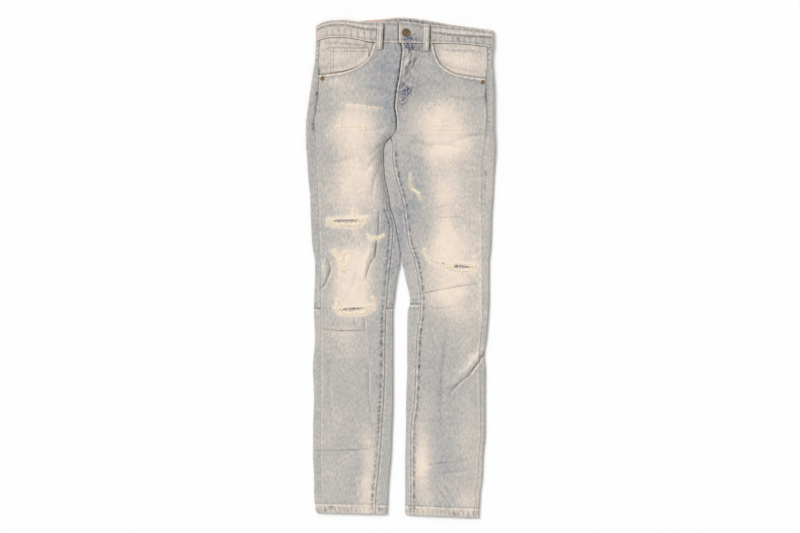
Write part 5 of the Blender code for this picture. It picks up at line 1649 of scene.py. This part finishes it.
def coin_paths():
    """Double rows down the coin pocket's side and its mouth."""
    made = []
    for line in COIN_ROWS:
        y = np.linspace(COIN_TOP - 2, COIN_LOW + 4, 20)
        x = np.linspace(COIN_X[0] + 2, COIN_X[1] + 10, 30)
        for row_x, row_y in ((COIN_X[0] + line + 0 * y, y), (x, COIN_TOP - line + 0 * x)):
            made.append(xyz(row_x, row_y, coin_ground(row_x, row_y) + 0.25).tolist())
    return made


def loop_paths():
    made = []
    down = np.linspace(0.08, 0.92, 24)
    for loop in LOOPS[:2]:
        y = mix(loop.top, loop.low, down)
        for across in (-0.58, 0.58):
            x = loop.x + loop.lean * (1 - 2 * down) + across * LOOP_WIDTH / 2
            made.append(xyz(x, y, loop_ground(loop, y) + LOOP_CLOTH - 0.1).tolist())
    return made


def back_stitch_paths():
    """Stitching on the hidden side: pockets, yoke seams and hems."""
    made = []
    for pocket in POCKETS:
        u = np.concatenate([np.full(20, 0.95), np.linspace(0.95, -0.95, 40), np.full(20, -0.95)])
        v = np.concatenate([np.linspace(0.02, 0.96, 20), np.full(40, 0.965), np.linspace(0.96, 0.02, 20)])
        for shrink in (1, 0.9):
            x, y = pocket_outline(pocket, u * shrink, v if shrink == 1 else v * 0.97)
            made.append(xyz(x, y, UNDER_STITCH_LIFT).tolist())
    for side in SIDES:
        leg, outward = LEGS[side], OUTWARD[side]
        share = np.linspace(0.04, 0.97, 60)
        x = mix(leg.outer(430.0) - outward * 8, leg.inner(410.0), share)
        for shift in (3, 8):
            y = mix(YOKE_SIDE_SEAM, YOKE_MIDDLE_SEAM, share) + shift
            made.append(xyz(x, y, under_height(y) + 0.1).tolist())
        x = mix(leg.outer(HEM_READ) - outward * 5, leg.inner(HEM_READ) + outward * 5, share)
        made.append(xyz(x, hem_y(side, x) + HEM_STITCH, UNDER_STITCH_LIFT).tolist())
    return made


def knee_paths():
    made = []
    for side in SIDES:
        leg, outward = LEGS[side], OUTWARD[side]
        knee = KNEE_SEAM[side] - 3.6
        rows = [(leg.in_seam(knee) - outward * 1.5, leg.inner(knee) + outward * 2.5, 12)]
        if side == "right":
            rows.append((leg.out_seam(knee) - 1, leg.outer(knee) + 2.5, 8))
        for row in rows:
            x = np.linspace(*row)
            made.append(on_cloth(side, zip(x, knee + 0 * x), front=False))
    return made


def buttonhole_paths():
    """Buttonhole stitching on both sides of its slit."""
    made = []
    for share in np.linspace(0.42, 1, 26):
        x, y = (mix(a, b, share) for a, b in zip(BUTTON_AT, BUTTONHOLE_END))
        z = float(band_height(x, y)) + 0.25
        made += [[(x, y - 2.1, z), (x, y - 0.4, z)], [(x, y + 0.4, z), (x, y + 2.1, z)]]
    return made


def add_stitches(name, paths, sizes, **changes):
    values = dict(Pitch=sizes.stitch_pitch * MM, Length=sizes.stitch_length * MM,
                  Thickness=sizes.stitch_thickness * MM, Seed=sizes.seed)
    add_piece(name, grow(name, paths, "Stitches Along Seams", **(values | changes)), "fray")


def worn_path(worn):
    """A worn patch's line, bowed as it is worn."""
    share = np.linspace(0, 1, 9)
    length = math.hypot(worn.x1 - worn.x0, worn.y1 - worn.y0)
    bow = worn.bow * 4 * share * (1 - share)
    x = mix(worn.x0, worn.x1, share) - bow * (worn.y1 - worn.y0) / length
    y = mix(worn.y0, worn.y1, share) + bow * (worn.x1 - worn.x0) / length
    return on_cloth(worn.leg, zip(x, y), 0.1)


# Piles of yarn by the width of what they cover: name, widths from and to, share of the pitch, length in m,
# disorder
YARN_PILES = (("scratch", 0, 4.2, 1.0, 0.0042, 0.12), ("worn", 4.2, 8.2, 0.36, 0.005, 0.42),
              ("torn", 8.2, 99, 0.26, 0.0052, 0.42))
WARPS_LEFT = {"right": 34, "left": 16}  # warp threads that still cross a rip


def rip_edge(rip, up, inset):
    """A path along one edge of a rip, just inside the torn cloth."""
    share = np.linspace(0.02, 0.98, 24)
    x, middle = rip_middle(rip, share)
    y = middle + up * (rip_half_width(rip, share) - inset)
    return xyz(x, y, top_height(rip.leg, x, y) - 0.2).tolist()


def spanning_yarns(rip, seed):
    """Yarns that still cross a rip: weft along its edges, and warp from side to side."""
    random = np.random.default_rng(seed)
    paths = []
    for k in range(30):
        band = random.choice((-1, -1, 1)) * random.uniform(0.84, 1.0)
        start, end = sorted(random.uniform(0.0, 1.0, 2))
        if end - start < 0.35:
            start, end = max(0.01, start - 0.25), min(0.99, end + 0.25)
        share = np.linspace(start, end, 14)
        x, middle = rip_middle(rip, share)
        sway = 0.25 * np.sin(share * random.uniform(5, 14) + random.uniform(0, 6))
        y = middle + rip_half_width(rip, share) * band + sway
        paths.append(xyz(x, y, top_height(rip.leg, x, y) - 0.6 + random.uniform(-0.4, 0.4)).tolist())
    steps = np.linspace(0, 1, 5)
    warps = WARPS_LEFT[rip.leg]
    for k in range(warps):
        lean = (steps - 0.5) * random.uniform(-0.05, 0.05)
        share = mix(0.1, 0.9, (k + random.uniform(0.1, 0.9)) / warps) + lean
        x, middle = rip_middle(rip, share)
        y = middle + rip_half_width(rip, share) * mix(-1, random.choice((-0.2, 0.4, 1)), steps)
        paths.append(xyz(x, y, top_height(rip.leg, x, y) - 0.4 - 0.5 * np.sin(math.pi * steps)).tolist())
    return paths


def size_property(name, description, default, low, high=1000.0):
    return FloatProperty(name=name, description=description, default=default, min=low, max=high)


def colour_property(name, description, red, green, blue):
    return FloatVectorProperty(name=name, description=description, subtype="COLOR", size=3, min=0, max=1,
                               default=linear(red, green, blue))


class JeansSizes(bpy.types.PropertyGroup):
    """Sizes that the finish is made with, in millimetres"""

    grid: size_property("Cloth grid", "Spacing of the cloth's points, in mm", 2.2, 1.5, 12)
    stitch_pitch: size_property("Stitch pitch", "Distance between stitches, in mm", 3.4, 2, 8)
    stitch_length: size_property("Stitch length", "Length of one stitch, in mm", 2.5, 1, 7)
    stitch_thickness: size_property("Stitch thickness", "Thickness of the sewing thread, in mm", 0.75, 0.2, 2)
    yarn_pitch: size_property("Yarn pitch", "Distance between loose yarns, in mm", 0.42, 0.2, 4)
    yarn_thickness: size_property("Yarn thickness", "Thickness of a loose yarn, in mm", 0.45, 0.1, 1.5)
    seed: IntProperty(name="Seed", description="Start of the random draws", default=7, min=1)
    key_strength: size_property("Key light", "Strength of the soft light from the upper left", 2.3, 0)
    fill: size_property("Fill light", "Strength of the light from all round", 0.6, 0)
    stage_width: FloatProperty(name="Floor width", description="Width of the floor", default=8, min=2,
                               unit="LENGTH")


class JeansColours(bpy.types.PropertyGroup):
    """Colours of the cloth, thread and metal"""

    dyed: colour_property("Dyed", "Denim where most dye is left", 141, 147, 155)
    washed: colour_property("Washed", "Denim of the middle wash", 183, 181, 175)
    cream: colour_property("Bleached", "Denim where the dye is gone", 237, 221, 204)
    blush: colour_property("Blush", "Cast of the warmer patches", 206, 188, 182)
    # indigo: dye left in the cloth, and painted shade where the tint mark darkens beside the fly and in the
    # valley between the legs
    indigo: colour_property("Indigo", "Dye left in puckers and folds", 78, 81, 106)
    # painted shade: the dark colour that the shade mark lays where shade falls, in seams, crease bottoms and
    # beside raised edges
    painted_shade: colour_property("Painted shade", "Dark seams and the bottoms of creases", 62, 58, 56)
    rubbed: colour_property("Rubbed", "Worn edges and ridges", 236, 226, 212)
    inside_dark: colour_property("Inside, dark", "Warp on the inner face", 196, 194, 204)
    inside_light: colour_property("Inside, light", "Weft on the inner face", 240, 237, 238)
    stitch: colour_property("Thread", "Sewing thread", 216, 204, 190)
    stitch_stained: colour_property("Thread, stained", "Sewing thread that took up dye", 140, 134, 134)
    yarn: colour_property("Yarn", "Loose cotton weft", 255, 247, 230)
    yarn_stained: colour_property("Yarn, stained", "Loose cotton with a yellow stain", 252, 222, 178)
    copper: colour_property("Copper", "Bright places of the button", 176, 146, 112)
    copper_dull: colour_property("Copper, dull", "Dull places of the metal", 92, 76, 62)
    rivet: colour_property("Rivet", "Bright places of the rivets", 196, 164, 122)
    label: colour_property("Label", "Woven label", 216, 182, 170)
    label_worn: colour_property("Label, worn", "Worn places of the label", 184, 146, 138)
    floor: colour_property("Floor", "Paper that the jeans lie on", 249, 249, 249)


class JEANS_OT_stage(bpy.types.Operator):
    """Lay the pale floor, and set the soft lights and the camera above it"""
    bl_idname = "jeans.stage"
    bl_label = "Stage"

    def execute(self, context):
        sizes = context.scene.jeans_sizes
        half = sizes.stage_width / 2
        corners = [(-half, -half), (half, -half), (half, half), (-half, half)]
        mesh = new_mesh("floor", [(x, y, -FLOOR_GAP * MM) for x, y in corners], [(0, 1, 2, 3)])
        mesh.materials.append(look("Paper Floor"))
        linked("floor", mesh)
        world = bpy.data.worlds.new("studio")
        world.use_nodes = True
        background = world.node_tree.nodes["Background"].inputs
        background["Strength"].default_value = sizes.fill
        background["Color"].default_value = (1, 1, 1, 1)
        context.scene.world = world
        light = bpy.data.lights.new("key", "SUN")
        light.energy = sizes.key_strength
        light.angle = math.radians(KEY_ANGLE)
        linked("key", light).rotation_euler = Vector(KEY_HEADING).to_track_quat("-Z", "Y").to_euler()
        lens = bpy.data.cameras.new("camera")
        lens.lens, lens.sensor_width = CAMERA_LENS, CAMERA_SENSOR
        camera = linked("camera", lens)
        camera.location = CAMERA_AT
        context.scene.camera = camera
        context.scene.view_settings.view_transform = "Standard"
        return {"FINISHED"}


class JEANS_OT_front_panels(bpy.types.Operator):
    """Lay the two front leg panels, with their rips and pocket openings"""
    bl_idname = "jeans.front_panels"
    bl_label = "Front panels"

    def execute(self, context):
        for side in SIDES:
            build_front(side, context.scene.jeans_sizes)
        return {"FINISHED"}


class JEANS_OT_back_panels(bpy.types.Operator):
    """Lay the back leg panels and yokes, wrapped round the edges of the legs"""
    bl_idname = "jeans.back_panels"
    bl_label = "Back panels"

    def execute(self, context):
        step = context.scene.jeans_sizes.grid
        for side in SIDES:
            knee, hem = KNEE_SEAM[side], HEM_ENDS[side][0]
            for name, start, middle, low in (
                    ("thigh", YOKE_SIDE_SEAM - HALF_GAP, YOKE_MIDDLE_SEAM - HALF_GAP, knee + HALF_GAP),
                    ("calf", knee - HALF_GAP, knee - HALF_GAP, hem)):
                y_side = np.linspace(start, low, round((start - low) / step))
                y_middle = y_side - (start - middle) * ease(y_side, SLANT_FROM, start)
                build_back(f"back_{name}_{side}", side, y_side, y_middle)
            share = np.linspace(0, 1, round(YOKE_DEPTH / step))
            y_side = mix(WAIST_READ, YOKE_SIDE_SEAM + HALF_GAP, share)
            y_middle = mix(WAIST_READ, YOKE_MIDDLE_SEAM + HALF_GAP, share)
            build_back(f"yoke_{side}", side, y_side, y_middle, waist=True)
        return {"FINISHED"}


class JEANS_OT_waistband(bpy.types.Operator):
    """Wrap the waistband round the top, with its buttonhole"""
    bl_idname = "jeans.waistband"
    bl_label = "Waistband"

    def execute(self, context):
        build_waistband()
        return {"FINISHED"}


class JEANS_OT_front_pockets(bpy.types.Operator):
    """Lay the two pocket facings and the coin pocket"""
    bl_idname = "jeans.front_pockets"
    bl_label = "Front pockets"

    def execute(self, context):
        for side in SIDES:
            build_facing(side)
        build_coin_pocket()
        return {"FINISHED"}


class JEANS_OT_back_pockets(bpy.types.Operator):
    """Lay the two patch pockets under the seat"""
    bl_idname = "jeans.back_pockets"
    bl_label = "Back pockets"

    def execute(self, context):
        for pocket in POCKETS:
            build_back_pocket(pocket)
        return {"FINISHED"}


class JEANS_OT_belt_loops(bpy.types.Operator):
    """Sew on the five belt loops"""
    bl_idname = "jeans.belt_loops"
    bl_label = "Belt loops"

    def execute(self, context):
        for loop in LOOPS:
            build_loop(loop)
        return {"FINISHED"}


class JEANS_OT_label(bpy.types.Operator):
    """Lay the bare woven label inside the back of the waistband"""
    bl_idname = "jeans.label"
    bl_label = "Label"

    def execute(self, context):
        build_label()
        return {"FINISHED"}


class JEANS_OT_fray(bpy.types.Operator):
    """Grow yarns over the worn patches and along both edges of each rip"""
    bl_idname = "jeans.fray"
    bl_label = "Fray"

    def execute(self, context):
        sizes = context.scene.jeans_sizes
        thin, pitch = sizes.yarn_thickness * MM, sizes.yarn_pitch * MM
        for side in SIDES:
            for word, low, high, share, length, disorder in YARN_PILES:
                patches = [worn for worn in WORN if worn.leg == side and low <= worn.width < high]
                mesh = grow(f"{word}_yarns_{side}", [worn_path(worn) for worn in patches], "Loose Yarns",
                            [worn.width / 2 for worn in patches], Pitch=pitch * share, Length=length,
                            Thickness=thin, Lift=0.0005, Turn=0.0, Disorder=disorder, Seed=sizes.seed)
                add_piece(f"{word}_yarns_{side}", mesh, "fray")
        for k, rip in enumerate(RIPS):
            for part, up, length in (("upper", 1, 0.0016), ("lower", -1, 0.0022)):
                name = f"fringe_{rip.name}_{part}"
                edge = rip_edge(rip, up, 0.5)
                mesh = grow(name, [edge], "Loose Yarns", [0.7], Pitch=0.4 * MM, Length=length,
                            Thickness=thin, Lift=0.0004, Turn=math.pi / 2, Disorder=0.75, Seed=sizes.seed + k)
                add_piece(f"{name}_yarns", mesh, "fray", (), name)
            mesh = grow(f"rip_yarns_{rip.name}", spanning_yarns(rip, sizes.seed + k), "Stretched Yarns",
                        Thickness=thin * 1.6, Wander=0.0003, Seed=sizes.seed + k)
            add_piece(f"rip_yarns_{rip.name}", mesh, "fray")
        return {"FINISHED"}


class JEANS_OT_stitching(bpy.types.Operator):
    """Sew the rows of stitching on seams, hems, pockets, band and loops"""
    bl_idname = "jeans.stitching"
    bl_label = "Stitching"

    def execute(self, context):
        sizes = context.scene.jeans_sizes
        for name, paths in stitch_paths().items():
            add_stitches(f"stitches_{name}", paths, sizes)
        small = dict(Pitch=2.6 * MM, Length=1.9 * MM, Thickness=0.6 * MM)
        add_stitches("stitches_coin_pocket", coin_paths(), sizes, **small)
        add_stitches("stitches_belt_loops", loop_paths(), sizes, **small)
        add_stitches("stitches_knee_seams", knee_paths(), sizes, **small)
        add_stitches("stitches_back", back_stitch_paths(), sizes)
        add_stitches("stitches_buttonhole", buttonhole_paths(), sizes, Pitch=0.0014, Length=0.0019,
                     Thickness=0.0007)
        return {"FINISHED"}


class JEANS_OT_hardware(bpy.types.Operator):
    """Finish the button and the rivets in aged metal"""
    bl_idname = "jeans.hardware"
    bl_label = "Hardware"

    def execute(self, context):
        for node, metal in (("button", "Aged Copper"), ("rivet_right", "Rivet Metal"),
                            ("rivet_left", "Rivet Metal")):
            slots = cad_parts[node].material_slots
            for place in slots:
                place.material = look(metal)
        return {"FINISHED"}


class JEANS_PT_finish(bpy.types.Panel):
    """Buttons for each step of the finish, and its sizes and colours"""
    bl_idname = "JEANS_PT_finish"
    bl_label = "Ripped jeans"
    bl_space_type = "VIEW_3D"
    bl_region_type = "UI"
    bl_category = "Jeans"

    def draw(self, context):
        for operator in OPERATORS:
            self.layout.operator(operator.bl_idname)
        for group in (context.scene.jeans_sizes, context.scene.jeans_colours):
            for word in group.bl_rna.properties.keys():
                if word not in ("rna_type", "name"):
                    self.layout.prop(group, word)


OPERATORS = (
    JEANS_OT_stage, JEANS_OT_back_panels, JEANS_OT_front_panels, JEANS_OT_waistband, JEANS_OT_front_pockets,
    JEANS_OT_back_pockets, JEANS_OT_belt_loops, JEANS_OT_label, JEANS_OT_fray, JEANS_OT_stitching,
    JEANS_OT_hardware,
)
CLASSES = (JeansSizes, JeansColours, *OPERATORS, JEANS_PT_finish)


def register():
    for item in CLASSES:
        bpy.utils.register_class(item)
    bpy.types.Scene.jeans_sizes = PointerProperty(type=JeansSizes)
    bpy.types.Scene.jeans_colours = PointerProperty(type=JeansColours)


def unregister():
    del bpy.types.Scene.jeans_colours
    del bpy.types.Scene.jeans_sizes
    for item in reversed(CLASSES):
        bpy.utils.unregister_class(item)


def main():
    register()
    for operator in OPERATORS:
        group, name = operator.bl_idname.split(".")
        getattr(getattr(bpy.ops, group), name)()


if __name__ == "__main__":
    main()
